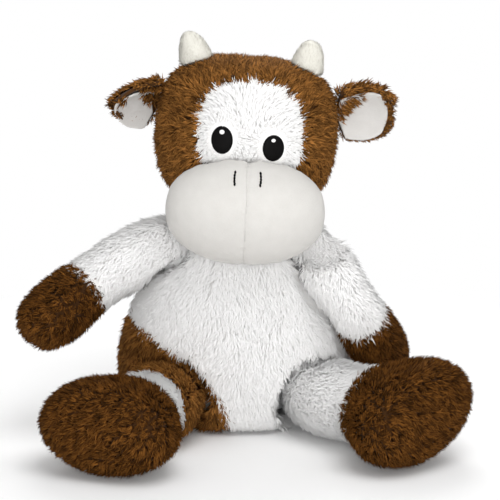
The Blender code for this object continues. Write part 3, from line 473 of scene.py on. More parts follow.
TORSO_SPREADS = np.array((4.0, 2.0, 0.0))
DOWN = np.array((0.0, 0.0, -1.0))
FACE_DEPTH_SHARE = 0.3
CROWN_DEPTH = 80.0 * MM
BLAZE_FALL = DOWN * 0.25
CROWN_SWEEP = np.array((0.0, 0.5, 0.0))
NAPE_FALL = DOWN * 1.2
ARM_FALL = DOWN * 0.35
SOLE_WAY = np.array((0.7, 0.0, -0.55))
FOOT_WAY = np.array((0.5, 0.0, -0.3))
FOOT_ALONG = 0.8


def middle_of(node):
    """The middle of a node's box."""
    low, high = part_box(node)
    return (np.array(low) + np.array(high)) / 2.0


def unit(vectors):
    """Vectors at length one."""
    return vectors / np.maximum(np.linalg.norm(vectors, axis=1, keepdims=True), TINY)


def head_flow(points, panel):
    """Away from the face, and down at the back of the head."""
    face = middle_of("face_blaze")
    away = points - face
    away[:, 1] *= FACE_DEPTH_SHARE
    radial = unit(away)
    back = np.clip((points[:, 1] - face[1]) / CROWN_DEPTH, 0.0, 1.0)[:, None]
    if panel == "face_blaze":
        return radial + BLAZE_FALL
    return radial * (1.0 - back) + CROWN_SWEEP + NAPE_FALL * back


def leg_flow(name, panel):
    """Out along a leg, and outwards over the foot and the sole."""
    foot = middle_of(f"{name}_foot")
    thigh = middle_of(f"{name}_thigh")
    along = (foot - thigh) / np.linalg.norm(foot - thigh)
    mirror = np.array((-1.0 if name.endswith("left") else 1.0, 1.0, 1.0))
    if panel.endswith("sole"):
        return SOLE_WAY * mirror
    if panel.endswith("foot"):
        return along * FOOT_ALONG + FOOT_WAY * mirror
    return along


def flow_of(name, points, panel):
    """The way the hair lies on a form, before it is laid onto the surface."""
    if name == "torso":
        return points * TORSO_SPREADS + DOWN
    if name == "head":
        return head_flow(points, panel)
    if name.startswith("arm"):
        paw = middle_of(f"{name}_paw")
        sleeve = middle_of(f"{name}_sleeve")
        return unit(paw + (paw - sleeve) - points) + ARM_FALL
    return leg_flow(name, panel)


def laid(flow, normals):
    """Directions laid onto a surface."""
    flat = flow - normals * np.sum(flow * normals, axis=1, keepdims=True)
    return unit(flat)


print("directions ready")

# %% [markdown]
# ## One hair
#
# A hair is a closed spindle of six triangles: a root, three points round its thickest place, and a tip.
# It rises from the ground and bends over towards +X. A curve with a thickness would be rounder, but it
# would cost many more triangles.

# %% Make the hair that is copied

HAIR_POINTS = (
    (0.0, 0.0, -0.04),
    (0.255, 0.5, 0.425),
    (0.255, -0.5, 0.425),
    (0.330, 0.0, 0.375),
    (0.74, 0.0, 0.64),
)
HAIR_FACES = ((0, 2, 1), (0, 3, 2), (0, 1, 3), (4, 1, 2), (4, 2, 3), (4, 3, 1))
HAIR_ALONG = (0.0, 0.5, 0.5, 0.5, 1.0)
hair_mesh = bpy.data.meshes.new("hair")
hair_mesh.from_pydata(HAIR_POINTS, [], HAIR_FACES)
along = hair_mesh.attributes.new("along", "FLOAT", "POINT")
along.data.foreach_set("value", HAIR_ALONG)
hair_mesh.update()
hair = bpy.data.objects.new("hair", hair_mesh)
bpy.context.scene.collection.objects.link(hair)
check = bmesh.new()
check.from_mesh(hair_mesh)
print("a hair encloses", round(check.calc_volume(signed=True), 4), "unit volumes")
check.free()

# %% [markdown]
# ## The pile
#
# Long plush is thousands of fine hairs on a cloth. Particle hair could make it, but a node tree reads
# each cover's directions from its points. The pile scatters hairs over a cover. Each hair follows the
# brushed direction, leans to the middle of its tuft, and differs from its neighbours in length, twist
# and tint. What changes from plush to plush is an input.

# %% Name the pile's inputs

pile = bpy.data.node_groups.new("pile", "GeometryNodeTree")
PILE_INPUTS = (
    ("Cover", "NodeSocketGeometry", None),
    ("Hair", "NodeSocketObject", None),
    ("Finish", "NodeSocketMaterial", None),
    ("Density", "NodeSocketFloat", 1e6),
    ("Length", "NodeSocketFloat", PILE_LENGTH),
    ("Width", "NodeSocketFloat", HAIR_WIDTH),
    ("Tuft size", "NodeSocketFloat", 8.0 * MM),
    ("Tuft pull", "NodeSocketFloat", 0.8),
    ("Ruffle size", "NodeSocketFloat", 22.0 * MM),
    ("Ruffle", "NodeSocketFloat", 1.2),
    ("Twist", "NodeSocketFloat", 0.45),
    ("Tilt", "NodeSocketFloat", 0.25),
    ("Lay", "NodeSocketFloat", 0.0),
    ("Seed", "NodeSocketInt", SEED),
)
for label, kind, default in PILE_INPUTS:
    socket = pile.interface.new_socket(name=label, in_out="INPUT", socket_type=kind)
    if default is not None:
        socket.default_value = default
pile.interface.new_socket(name="Pile", in_out="OUTPUT", socket_type="NodeSocketGeometry")
print(len(PILE_INPUTS), "inputs")

# %% [markdown]
# ## Helpers for node trees
#
# The pile and the materials are both built from nodes, so they share a few helpers that make a node,
# join two sockets and do sums.

# %% Helpers for nodes


def node(tree, kind, **settings):
    """A node with its settings."""
    made = tree.nodes.new(kind)
    for key, value in settings.items():
        setattr(made, key, value)
    return made


def link(tree, source, target):
    """Join two sockets."""
    tree.links.new(source, target)


def vector_math(tree, operation, first, second):
    """Two vectors, or a vector and a factor, combined."""
    made = node(tree, "ShaderNodeVectorMath", operation=operation)
    link(tree, first, made.inputs[0])
    if operation == "SCALE":
        link(tree, second, made.inputs["Scale"])
    else:
        link(tree, second, made.inputs[1])
    return made.outputs[0]


def number_math(tree, operation, first, second):
    """Two numbers combined. A plain number is set on the socket itself."""
    made = node(tree, "ShaderNodeMath", operation=operation)
    for index, value in enumerate((first, second)):
        if isinstance(value, (int, float)):
            made.inputs[index].default_value = value
        else:
            link(tree, value, made.inputs[index])
    return made.outputs[0]


def stored(tree, name, kind):
    """A value kept on the cover's points."""
    made = node(tree, "GeometryNodeInputNamedAttribute", data_type=kind)
    made.inputs["Name"].default_value = name
    return made.outputs["Attribute"]


def random_number(tree, limits, offset, seed):
    """A random number for each hair between two limits."""
    made = node(tree, "FunctionNodeRandomValue", data_type="FLOAT")
    made.inputs[2].default_value = limits[0]
    made.inputs[3].default_value = limits[1]
    link(tree, number_math(tree, "ADD", seed, offset), made.inputs["Seed"])
    return made.outputs[1]


def turned(tree, rotation, axis, angle):
    """A rotation turned further about one of its own axes."""
    turn = node(tree, "FunctionNodeAxisAngleToRotation")
    turn.inputs["Axis"].default_value = axis
    link(tree, angle, turn.inputs["Angle"])
    both = node(tree, "FunctionNodeRotateRotation", rotation_space="LOCAL")
    link(tree, rotation, both.inputs[0])
    link(tree, turn.outputs[0], both.inputs[1])
    return both.outputs[0]


print("node helpers ready")

# %% [markdown]
# ## Scattering and aiming the hairs
#
# Two noises move the hair: one ruffles its direction, and one gathers hairs into tufts. Each hair
# stands on the cover, turns to its direction, and leans a little by chance.

# %% Scatter and aim

NOISE_DETAIL = 2.0
HALF = (0.5, 0.5, 0.5)
EITHER_WAY = (-1.0, 1.0)
LENGTH_SHARES = (0.72, 1.12)
WIDTH_SHARES = (0.75, 1.25)

entry = node(pile, "NodeGroupInput")
goal = node(pile, "NodeGroupOutput")
seed = entry.outputs["Seed"]
scatter = node(pile, "GeometryNodeDistributePointsOnFaces", distribute_method="RANDOM")
link(pile, entry.outputs["Cover"], scatter.inputs["Mesh"])
link(pile, number_math(pile, "MULTIPLY", entry.outputs["Density"], stored(pile, "cover", "FLOAT")),
     scatter.inputs["Density"])
link(pile, seed, scatter.inputs["Seed"])

place = node(pile, "GeometryNodeInputPosition").outputs[0]
ruffles = node(pile, "ShaderNodeTexNoise", noise_dimensions="3D")
ruffles.inputs["Detail"].default_value = NOISE_DETAIL
link(pile, place, ruffles.inputs["Vector"])
link(pile, number_math(pile, "DIVIDE", 1.0, entry.outputs["Ruffle size"]), ruffles.inputs["Scale"])
centred = node(pile, "ShaderNodeVectorMath", operation="SUBTRACT")
link(pile, ruffles.outputs["Color"], centred.inputs[0])
centred.inputs[1].default_value = HALF
ruffle = vector_math(pile, "SCALE", centred.outputs[0],
                     number_math(pile, "MULTIPLY", entry.outputs["Ruffle"], 2.0))

tufts = node(pile, "ShaderNodeTexVoronoi", voronoi_dimensions="3D", feature="F1")
link(pile, place, tufts.inputs["Vector"])
link(pile, number_math(pile, "DIVIDE", 1.0, entry.outputs["Tuft size"]), tufts.inputs["Scale"])
lean = vector_math(pile, "SUBTRACT", tufts.outputs["Position"], place)
lean = vector_math(pile, "SCALE", lean,
                   number_math(pile, "DIVIDE", entry.outputs["Tuft pull"], entry.outputs["Tuft size"]))

direction = vector_math(pile, "ADD", stored(pile, "flow", "FLOAT_VECTOR"), ruffle)
direction = vector_math(pile, "ADD", direction, lean)
aim = node(pile, "FunctionNodeAxesToRotation", primary_axis="Z", secondary_axis="X")
link(pile, stored(pile, "up", "FLOAT_VECTOR"), aim.inputs[0])
link(pile, direction, aim.inputs[1])
twist = number_math(pile, "MULTIPLY", entry.outputs["Twist"], random_number(pile, EITHER_WAY, 1, seed))
tilt = number_math(pile, "MULTIPLY", entry.outputs["Tilt"], random_number(pile, EITHER_WAY, 2, seed))
tilt = number_math(pile, "ADD", tilt, entry.outputs["Lay"])
pose = turned(pile, turned(pile, aim.outputs[0], (0.0, 0.0, 1.0), twist), (0.0, 1.0, 0.0), tilt)

length = number_math(pile, "MULTIPLY", entry.outputs["Length"], stored(pile, "coat", "FLOAT"))
length = number_math(pile, "MULTIPLY", length, random_number(pile, LENGTH_SHARES, 3, seed))
width = number_math(pile, "MULTIPLY", entry.outputs["Width"], random_number(pile, WIDTH_SHARES, 4, seed))
scale = node(pile, "ShaderNodeCombineXYZ")
link(pile, length, scale.inputs[0])
link(pile, width, scale.inputs[1])
link(pile, length, scale.inputs[2])
print("hairs are", LENGTH_SHARES, "times the pile's length")

# %% [markdown]
# ## Copying the hairs
#
# Instances of the one hair would need less memory, but an export drops them, so the copies become real.
# Each keeps its tint, its tuft's tone and the way its cover faces.

# %% Copy the hair onto each point

TINTS = (0.0, 1.0)
source = node(pile, "GeometryNodeObjectInfo", transform_space="ORIGINAL")
link(pile, entry.outputs["Hair"], source.inputs[0])
copies = node(pile, "GeometryNodeInstanceOnPoints")
link(pile, scatter.outputs["Points"], copies.inputs["Points"])
link(pile, source.outputs["Geometry"], copies.inputs["Instance"])
link(pile, pose, copies.inputs["Rotation"])
link(pile, scale.outputs[0], copies.inputs["Scale"])


def keep_value(tree, geometry, name, value, kind="FLOAT"):
    """Keep a number or a direction on each hair."""
    made = node(tree, "GeometryNodeStoreNamedAttribute", data_type=kind, domain="INSTANCE")
    made.inputs["Name"].default_value = name
    link(tree, geometry, made.inputs["Geometry"])
    link(tree, value, made.inputs["Value"])
    return made.outputs[0]


clouds = node(pile, "ShaderNodeTexNoise", noise_dimensions="3D")
clouds.inputs["Detail"].default_value = NOISE_DETAIL
link(pile, number_math(pile, "DIVIDE", 1.0, entry.outputs["Tuft size"]), clouds.inputs["Scale"])
link(pile, place, clouds.inputs["Vector"])
grown = keep_value(pile, copies.outputs[0], "tint", random_number(pile, TINTS, 5, seed))
grown = keep_value(pile, grown, "tuft", clouds.outputs[0])
grown = keep_value(pile, grown, "facing", stored(pile, "up", "FLOAT_VECTOR"), "FLOAT_VECTOR")
real = node(pile, "GeometryNodeRealizeInstances")
link(pile, grown, real.inputs[0])
finish = node(pile, "GeometryNodeSetMaterial")
link(pile, real.outputs[0], finish.inputs["Geometry"])
link(pile, entry.outputs["Finish"], finish.inputs["Material"])
link(pile, finish.outputs[0], goal.inputs[0])
PILE_SOCKETS = {item.name: item.identifier for item in pile.interface.items_tree if item.in_out == "INPUT"}
print("pile inputs:", ", ".join(PILE_SOCKETS))

# %% [markdown]
# ## Colours of the pile
#
# One shader group gives every plush its colour: darker at the ground, painted shade for the depth of
# the pile, paler at the tips, partly the hair's own tipping and partly painted highlight, and a little
# different from hair to hair and from tuft to tuft.

# %% Build the pile's colour group

TUFT_CHANGE = 3.0
HAIR_CHANGE = 1.3
DARKEST = 0.4
tone = bpy.data.node_groups.new("pile_tone", "ShaderNodeTree")
for label in ("Ground", "Middle", "Tip"):
    tone.interface.new_socket(name=label, in_out="INPUT", socket_type="NodeSocketColor")
tone.interface.new_socket(name="Variety", in_out="INPUT", socket_type="NodeSocketFloat")
tone.interface.new_socket(name="Colour", in_out="OUTPUT", socket_type="NodeSocketColor")


def painted(tree, name):
    """A value kept on the mesh, read by a material."""
    made = node(tree, "ShaderNodeAttribute", attribute_type="GEOMETRY", attribute_name=name)
    return made.outputs["Fac"]


def mixed(tree, factor, first, second):
    """Two colours mixed."""
    made = node(tree, "ShaderNodeMix", data_type="RGBA")
    link(tree, factor, made.inputs["Factor"])
    for socket, value in ((made.inputs[6], first), (made.inputs[7], second)):
        if isinstance(value, tuple):
            socket.default_value = value
        else:
            link(tree, value, socket)
    return made.outputs[2]


tone_in = node(tone, "NodeGroupInput")
tone_out = node(tone, "NodeGroupOutput")
# Painted shade and highlight: each hair darkens from Middle to Ground towards its root and pales to Tip.
lower = number_math(tone, "MULTIPLY", painted(tone, "along"), 2.0)
upper = number_math(tone, "SUBTRACT", lower, 1.0)
for value in (lower, upper):
    value.node.use_clamp = True
shade = mixed(tone, lower, tone_in.outputs["Ground"], tone_in.outputs["Middle"])
shade = mixed(tone, upper, shade, tone_in.outputs["Tip"])
by_tuft = number_math(tone, "MULTIPLY", painted(tone, "tuft"), TUFT_CHANGE)
by_hair = number_math(tone, "MULTIPLY", painted(tone, "tint"), HAIR_CHANGE)
change = number_math(tone, "ADD", by_tuft, by_hair)
change = number_math(tone, "SUBTRACT", change, (TUFT_CHANGE + HAIR_CHANGE) / 2.0)
change = number_math(tone, "MULTIPLY", change, tone_in.outputs["Variety"])
change = number_math(tone, "ADD", change, 1.0)
change = number_math(tone, "MAXIMUM", change, DARKEST)
changed = node(tone, "ShaderNodeVectorMath", operation="SCALE")
link(tone, shade, changed.inputs[0])
link(tone, change, changed.inputs["Scale"])
link(tone, changed.outputs[0], tone_out.inputs[0])
print("colour group ready")

# %% [markdown]
# ## Materials
#
# Pile, woven ground, velour, thread and filling each have their own material. Pictures of cloth could
# be laid on, but nodes need no file and fit any size.

# %% Make the materials

BUMP_STRENGTH = 0.6
CLOTH_DETAIL = 4.0
WIDE_GRAIN = 12.0
PILE_SPECULAR = 0.05
PILE_ROUGHNESS = 0.8
SILK_SPECULAR = 0.04


def principled(name, roughness, sheen=0.0, specular=0.2):
    """A new material and its Principled shader."""
    material = bpy.data.materials.new(name)
    material.use_nodes = True
    shader = material.node_tree.nodes["Principled BSDF"]
    shader.inputs["Roughness"].default_value = roughness
    shader.inputs["Sheen Weight"].default_value = sheen
    shader.inputs["Specular IOR Level"].default_value = specular
    return material, shader


def pile_material(name, ground, middle, tip, variety):
    """A material for hairs."""
    material, shader = principled(name, PILE_ROUGHNESS, specular=PILE_SPECULAR)
    tree = material.node_tree
    group = node(tree, "ShaderNodeGroup", node_tree=tone)
    for label, colour in (("Ground", ground), ("Middle", middle), ("Tip", tip)):
        group.inputs[label].default_value = (*colour, 1.0)
    group.inputs["Variety"].default_value = variety
    link(tree, group.outputs[0], shader.inputs["Base Color"])
    return material


def cloth_material(name, colour, deeper, grain, height, roughness, sheen):
    """A material for cloth: two colours, the grain's size and height, roughness and sheen."""
    material, shader = principled(name, roughness, sheen)
    tree = material.node_tree
    where = node(tree, "ShaderNodeTexCoord").outputs["Object"]
    noise = node(tree, "ShaderNodeTexNoise")
    noise.inputs["Scale"].default_value = 1.0 / grain
    noise.inputs["Detail"].default_value = CLOTH_DETAIL
    link(tree, where, noise.inputs["Vector"])
    wide = node(tree, "ShaderNodeTexNoise")
    wide.inputs["Scale"].default_value = 1.0 / (WIDE_GRAIN * grain)
    link(tree, where, wide.inputs["Vector"])
    fine = mixed(tree, noise.outputs[0], (*deeper, 1.0), (*colour, 1.0))
    shade = mixed(tree, wide.outputs[0], fine, (*colour, 1.0))
    link(tree, shade, shader.inputs["Base Color"])
    bump = node(tree, "ShaderNodeBump")
    bump.inputs["Distance"].default_value = height
    bump.inputs["Strength"].default_value = BUMP_STRENGTH
    link(tree, noise.outputs[0], bump.inputs["Height"])
    link(tree, bump.outputs[0], shader.inputs["Normal"])
    return material


# Ground colours are painted shade in the depth of the pile; tip colours are partly painted highlight.
BROWN_PILE = pile_material(
    "brown_pile", (0.030, 0.011, 0.002), (0.215, 0.092, 0.022), (0.760, 0.400, 0.160), 1.05)
# A darker copy of the brown pile, painted shade for the paws, feet and soles, where one looks into the pile.
SHADED_BROWN_PILE = pile_material(
    "deep_pile", (0.014, 0.005, 0.001), (0.105, 0.041, 0.008), (0.520, 0.240, 0.072), 1.2)
WHITE_PILE = pile_material(
    "white_pile", (0.880, 0.872, 0.860), (0.935, 0.930, 0.922), (0.950, 0.946, 0.940), 0.02)
HORN_PILE = pile_material(
    "horn_pile", (0.790, 0.770, 0.690), (0.830, 0.812, 0.735), (0.860, 0.845, 0.780), 0.03)
# The brown ground is darker than its hair: the cloth's own brown, darkened as painted shade in the pile's
# depth.
BROWN_GROUND = cloth_material(
    "brown_ground", (0.070, 0.028, 0.006), (0.045, 0.017, 0.003), 0.9 * MM, 0.3 * MM, 0.9, 0.1)
WHITE_GROUND = cloth_material(
    "white_ground", (0.930, 0.920, 0.905), (0.860, 0.850, 0.835), 0.9 * MM, 0.3 * MM, 0.9, 0.1)
VELOUR = cloth_material(
    "muzzle_velour_cloth", (0.625, 0.610, 0.584), (0.512, 0.497, 0.471), 0.7 * MM, 0.45 * MM, 0.9, 0.15)
HORN_CLOTH = cloth_material(
    "horn_velour_cloth", (0.790, 0.770, 0.690), (0.690, 0.665, 0.580), 0.7 * MM, 0.45 * MM, 0.9, 0.15)
LINING = cloth_material(
    "lining_velour_cloth", (0.640, 0.622, 0.600), (0.500, 0.486, 0.468), 0.7 * MM, 0.45 * MM, 0.9, 0.15)
FLEECE = cloth_material(
    "fleece", (0.860, 0.855, 0.840), (0.760, 0.755, 0.740), 2.5 * MM, 1.5 * MM, 0.95, 0.2)
BAG = cloth_material(
    "pellet_bag_cloth", (0.620, 0.625, 0.630), (0.520, 0.525, 0.530), 0.6 * MM, 0.2 * MM, 0.8, 0.0)
BLACK_SILK = cloth_material(
    "black_silk", (0.006, 0.0055, 0.0055), (0.002, 0.002, 0.002), 0.5 * MM, 0.2 * MM, 0.5, 0.0)
BLACK_SILK.node_tree.nodes["Principled BSDF"].inputs["Specular IOR Level"].default_value = SILK_SPECULAR
WHITE_SILK = cloth_material(
    "white_silk", (0.900, 0.890, 0.880), (0.800, 0.790, 0.780), 0.5 * MM, 0.1 * MM, 0.5, 0.0)
print(len(bpy.data.materials), "materials")

# %% [markdown]
# ## Ground cloths
#
# Long pile grows from a ground cloth. It could be left out under dense pile, but a parting in the hair
# would then look into the toy. The ground of each panel is the part of its form that lies nearest to
# that panel's node, moved in by nearly half the pile, kept off the floor and given the thickness of the
# cloth.

# %% Helpers for the cloths


def part_of(name, thing, points, faces_kept, drop):
    """A new object of some faces of another, with points moved in, and which points it kept."""
    used = sorted({corner for face in faces_kept for corner in face})
    at = {corner: index for index, corner in enumerate(used)}
    moved = points - mesh_normals(thing) * drop
    moved[:, 2] = np.maximum(moved[:, 2], FLOOR_CLEAR + GROUND_CLOTH)
    made = new_object(name, moved[used], [[at[corner] for corner in face] for face in faces_kept])
    made.data.shade_smooth()
    return made, np.array(used)


def panels_of(name):
    """The faces of a form by panel."""
    thing = forms[name]
    nodes = FORMS[name]["panels"]
    nearest = panel_of_point[name]
    kept = {panel: [] for panel in nodes}
    for face in thing.data.polygons:
        corners = list(face.vertices)
        kept[nodes[int(np.argmin(nearest[corners].sum(axis=0)))]].append(corners)
    return kept


def write_field(thing, name, values):
    """Keep a number or a direction on each point."""
    kind = "FLOAT_VECTOR" if values.ndim == 2 else "FLOAT"
    field = thing.data.attributes.new(name, kind, "POINT")
    field.data.foreach_set("vector" if values.ndim == 2 else "value", np.ascontiguousarray(values).ravel())


def comb(thing, normals, flow, coat, cover):
    """Tell the pile on each point which way is up, which way it lies, how long it is and how dense."""
    for name, values in (("up", normals), ("flow", laid(flow, normals)), ("coat", coat), ("cover", cover)):
        write_field(thing, name, values)


def thicken(thing, thickness):
    """Give a cloth its thickness, inwards."""
    modifier = thing.modifiers.new("cloth", "SOLIDIFY")
    modifier.thickness = thickness
    modifier.offset = -1.0
    return apply_modifiers(thing)


def dress(thing, material, body, *nodes):
    """Give a finished piece its material, and let it move with its body and stand for its nodes."""
    thing.data.materials.clear()
    thing.data.materials.append(material)
    if thing.data.polygons:
        thing.data.polygons.foreach_set("material_index", [0] * len(thing.data.polygons))
    if nodes:
        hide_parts(*nodes)
    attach(thing, body)
    return thing


print("cloth helpers ready")

# %% [markdown]
# ## Growing the pile
#
# The cover is the cloth's outside. The geometry nodes grow the hairs, which then become a plain mesh.
# Hairs that would reach through the floor are pressed flat on it. Every hair gets its own small cell of
# a UV map.

# %% Helper that grows hairs

FLAT_STEP = 0.02 * MM
PALE_SOFTNESS = 2.0
BROWN_SOFTNESS = 0.35
HAIR_ACROSS = (0.5, 0.2, 0.8, 0.5, 0.5)
CELL_SHARE = 0.7
CELL_MARGIN_SHARE = 0.15
hair_counts = []


def grow(name, cover, material, body, length, density, lie):
    """Grow hairs on a cover and split them into pieces of a handy size."""
    carrier = bpy.data.objects.new(name, cover.data)
    bpy.context.scene.collection.objects.link(carrier)
    modifier = carrier.modifiers.new("pile", "NODES")
    modifier.node_group = pile
    values = {"Hair": hair, "Finish": material, "Density": density, "Length": length, **lie}
    for label, value in values.items():
        modifier[PILE_SOCKETS[label]] = value
    graph = bpy.context.evaluated_depsgraph_get()
    mesh = bpy.data.meshes.new_from_object(carrier.evaluated_get(graph))
    bpy.data.objects.remove(carrier, do_unlink=True)
    per_hair = len(HAIR_POINTS)
    hairs = len(mesh.vertices) // per_hair
    points = np.empty(len(mesh.vertices) * 3)
    mesh.vertices.foreach_get("co", points)
    points = points.reshape(-1, 3)
    points[:, 2] = np.maximum(points[:, 2], FLOOR_CLEAR + FLAT_STEP * (np.arange(len(points)) % per_hair))
    fields = {}
    for field in ("along", "tint", "tuft"):
        values = np.empty(len(mesh.vertices))
        mesh.attributes[field].data.foreach_get("value", values)
        fields[field] = values.reshape(hairs, per_hair)
    facing = np.empty(len(mesh.vertices) * 3)
    mesh.attributes["facing"].data.foreach_get("vector", facing)
    facing = facing.reshape(hairs, per_hair, 3)
    bpy.data.meshes.remove(mesh)
    pieces = max(1, -(-hairs // HAIRS_PER_PIECE))
    rows = points.reshape(hairs, per_hair, 3)
    order = np.argsort(rows[:, 0, 2], kind="stable")
    for index, chosen in enumerate(np.array_split(order, pieces)):
        label = name if pieces == 1 else f"{name}_{index + 1}"
        kept = {field: values[chosen] for field, values in fields.items()}
        softness = PALE_SOFTNESS if material in (WHITE_PILE, HORN_PILE) else BROWN_SOFTNESS
        dress(hair_piece(label, rows[chosen], facing[chosen] * softness, kept), material, body)
    hair_counts.append(hairs)
    print(name, hairs, "hairs in", pieces, "pieces")


def hair_piece(name, rows, facing, fields):
    """One mesh of hairs with their values and a UV cell each, shaded softly along the cover."""
    hairs, per_hair, _ = rows.shape
    faces = np.array(HAIR_FACES)
    corners = (faces[None] + (np.arange(hairs) * per_hair)[:, None, None]).reshape(-1, 3)
    mesh = bpy.data.meshes.new(name)
    mesh.vertices.add(hairs * per_hair)
    mesh.vertices.foreach_set("co", rows.ravel())
    mesh.loops.add(corners.size)
    mesh.loops.foreach_set("vertex_index", corners.ravel().astype(np.int32))
    mesh.polygons.add(len(corners))
    mesh.polygons.foreach_set("loop_start", np.arange(0, corners.size, 3, dtype=np.int32))
    mesh.update(calc_edges=True)
    mesh.shade_smooth()
    for label, values in fields.items():
        field = mesh.attributes.new(label, "FLOAT", "POINT")
        field.data.foreach_set("value", values.ravel())
    side = int(np.ceil(np.sqrt(hairs)))
    number = corners.ravel() // per_hair
    spot = corners.ravel() % per_hair
    across = np.array(HAIR_ACROSS)[spot]
    up = np.array(HAIR_ALONG)[spot] * CELL_SHARE + CELL_MARGIN_SHARE
    uv = np.stack(((number % side + across) / side, (number // side + up) / side), axis=1)
    mesh.uv_layers.new(name="OFBake").data.foreach_set("uv", uv.ravel())
    thing = bpy.data.objects.new(name, mesh)
    bpy.context.scene.collection.objects.link(thing)
    soft = unit(mesh_normals(thing) + facing.reshape(-1, 3))
    mesh.normals_split_custom_set_from_vertices(soft)
    return thing


print("pile helpers ready")

# %% [markdown]
# ## Torso, head, arms and legs
#
# These covers are sewn from brown and white plush. One lie of the hair could do for both, but the photo
# shows the brown in small, ruffled tufts and the white in wide, calm ones. Around the eyes the pile is
# cut short and parted, and the ground lies higher, so that the eyes stand clear of the hair.

# %% Say how each plush lies

BROWN_LIE = {"Tuft size": 4.2 * MM, "Tuft pull": 1.3, "Ruffle": 1.9, "Ruffle size": 14.0 * MM, "Lay": 0.05}
DEEP_LIE = {"Tuft size": 4.6 * MM, "Tuft pull": 1.6, "Ruffle": 2.3, "Ruffle size": 13.0 * MM, "Lay": -0.15}
# Paws, feet and soles get the darker brown pile as painted shade, with their own lie and length.
SHADED_PILE_PANELS = {
    "leg_left_sole", "leg_right_sole", "leg_left_foot", "leg_right_foot", "arm_left_paw", "arm_right_paw",
}
WHITE_LIE = {"Tuft size": 9.0 * MM, "Tuft pull": 0.35, "Ruffle": 1.0, "Ruffle size": 26.0 * MM, "Lay": 0.25}
DENSITY_SHARES = {"back_panel": 0.64}
DEEP_LENGTH = 8.0 * MM
COAT_LEAST = 0.55
COVER_GAIN = 1.6
COVER_START = 0.1
EYE_CLEAR = 9.5 * MM
EYE_CALM = 11.0 * MM
EYE_GROUND_DEPTH = 0.8 * MM
EYE_SHAPE = np.array((1.0, 0.3, 0.82))
EYE_COAT_LEAST = 0.25
EYE_PARTING = 1.5
FAR_AWAY = 1.0
EYES = {side: middle_of(f"eye_{side}") for side in ("left", "right")}


def beyond_eyes(points):
    """How far points lie beyond the nearest eye's rim, and the way from that eye to them."""
    beyond = np.full(len(points), FAR_AWAY)
    way = np.zeros((len(points), 3))
    for centre in EYES.values():
        away = points - centre
        reach = np.linalg.norm(away * EYE_SHAPE, axis=1) - EYE_CLEAR
        nearer = reach < beyond
        beyond[nearer] = reach[nearer]
        way[nearer] = unit(away[nearer])
    return beyond, way


def plush_of(panel):
    """The material, the lie and the length of a panel's pile."""
    if panel in SHADED_PILE_PANELS:
        return SHADED_BROWN_PILE, DEEP_LIE, DEEP_LENGTH
    if panel in BROWN_NODES:
        return BROWN_PILE, BROWN_LIE, PILE_LENGTH
    return WHITE_PILE, WHITE_LIE, PILE_LENGTH


print("eyes at", {side: [round(v, 3) for v in middle] for side, middle in EYES.items()})

# %% [markdown]
# ## Dressing each panel
#
# A cover is sewn from panels, and its colour changes at their seams. It could be painted onto one skin,
# but a panel that is its own piece has a clean edge. One loop cuts each panel's ground, combs it and
# grows its pile.

# %% Make the plush panels

grounds = {}
for name in [form for form in FORMS if form != "muzzle"]:
    thing = forms[name]
    points = mesh_points(thing)
    normals = mesh_normals(thing)
    body = BODY_OF_FORM[name]
    for panel, faces in panels_of(name).items():
        ground, used = part_of(f"{panel}_ground", thing, points, faces, GROUND_DEPTH)
        opened = open_of_point[name][used]
        coat = COAT_LEAST + (1.0 - COAT_LEAST) * opened
        cover = np.clip(opened * COVER_GAIN - COVER_START, 0.0, 1.0)
        flow = flow_of(name, points[used], panel)
        if panel == "face_blaze":
            beyond, way = beyond_eyes(points[used])
            near = np.clip(beyond / EYE_CALM, 0.0, 1.0)
            coat = coat * (EYE_COAT_LEAST + (1.0 - EYE_COAT_LEAST) * near)
            cover = cover * (beyond > 0.0)
            flow = flow * near[:, None] + way * EYE_PARTING * (1.0 - near[:, None])
            lift = (GROUND_DEPTH - EYE_GROUND_DEPTH) * (1.0 - near)
            set_points(ground, mesh_points(ground) + normals[used] * lift[:, None])
        comb(ground, normals[used], flow, coat, cover)
        material, lie, length = plush_of(panel)
        density = HAIRS_PER_AREA * DENSITY_SHARES.get(panel, 1.0)
        grow(f"{panel}_pile", ground, material, body, length, density, lie)
        thicken(ground, GROUND_CLOTH)
        dress(ground, BROWN_GROUND if panel in BROWN_NODES else WHITE_GROUND, body, panel)
        grounds[panel] = ground
print("hairs so far:", sum(hair_counts))

# %% [markdown]
# ## The muzzle
#
# The muzzle is short-haired velour. Hair could be grown on it too, but so short a nap isn't seen hair
# by hair, so its cloth is the surface itself. A plane fitted to the points between its two panels gives
# the seam down its middle. The cloth puckers there from stitch to stitch, and each half is cut off at
# the plane.

# %% Make the muzzle's halves

MUZZLE_CLOTH = 1.5 * MM
SEAM_SAMPLE = 12.0 * MM
STITCH = 3.2 * MM
PUCKER_REACH = 2.5 * MM
PUCKER_HEIGHT = 0.22 * MM

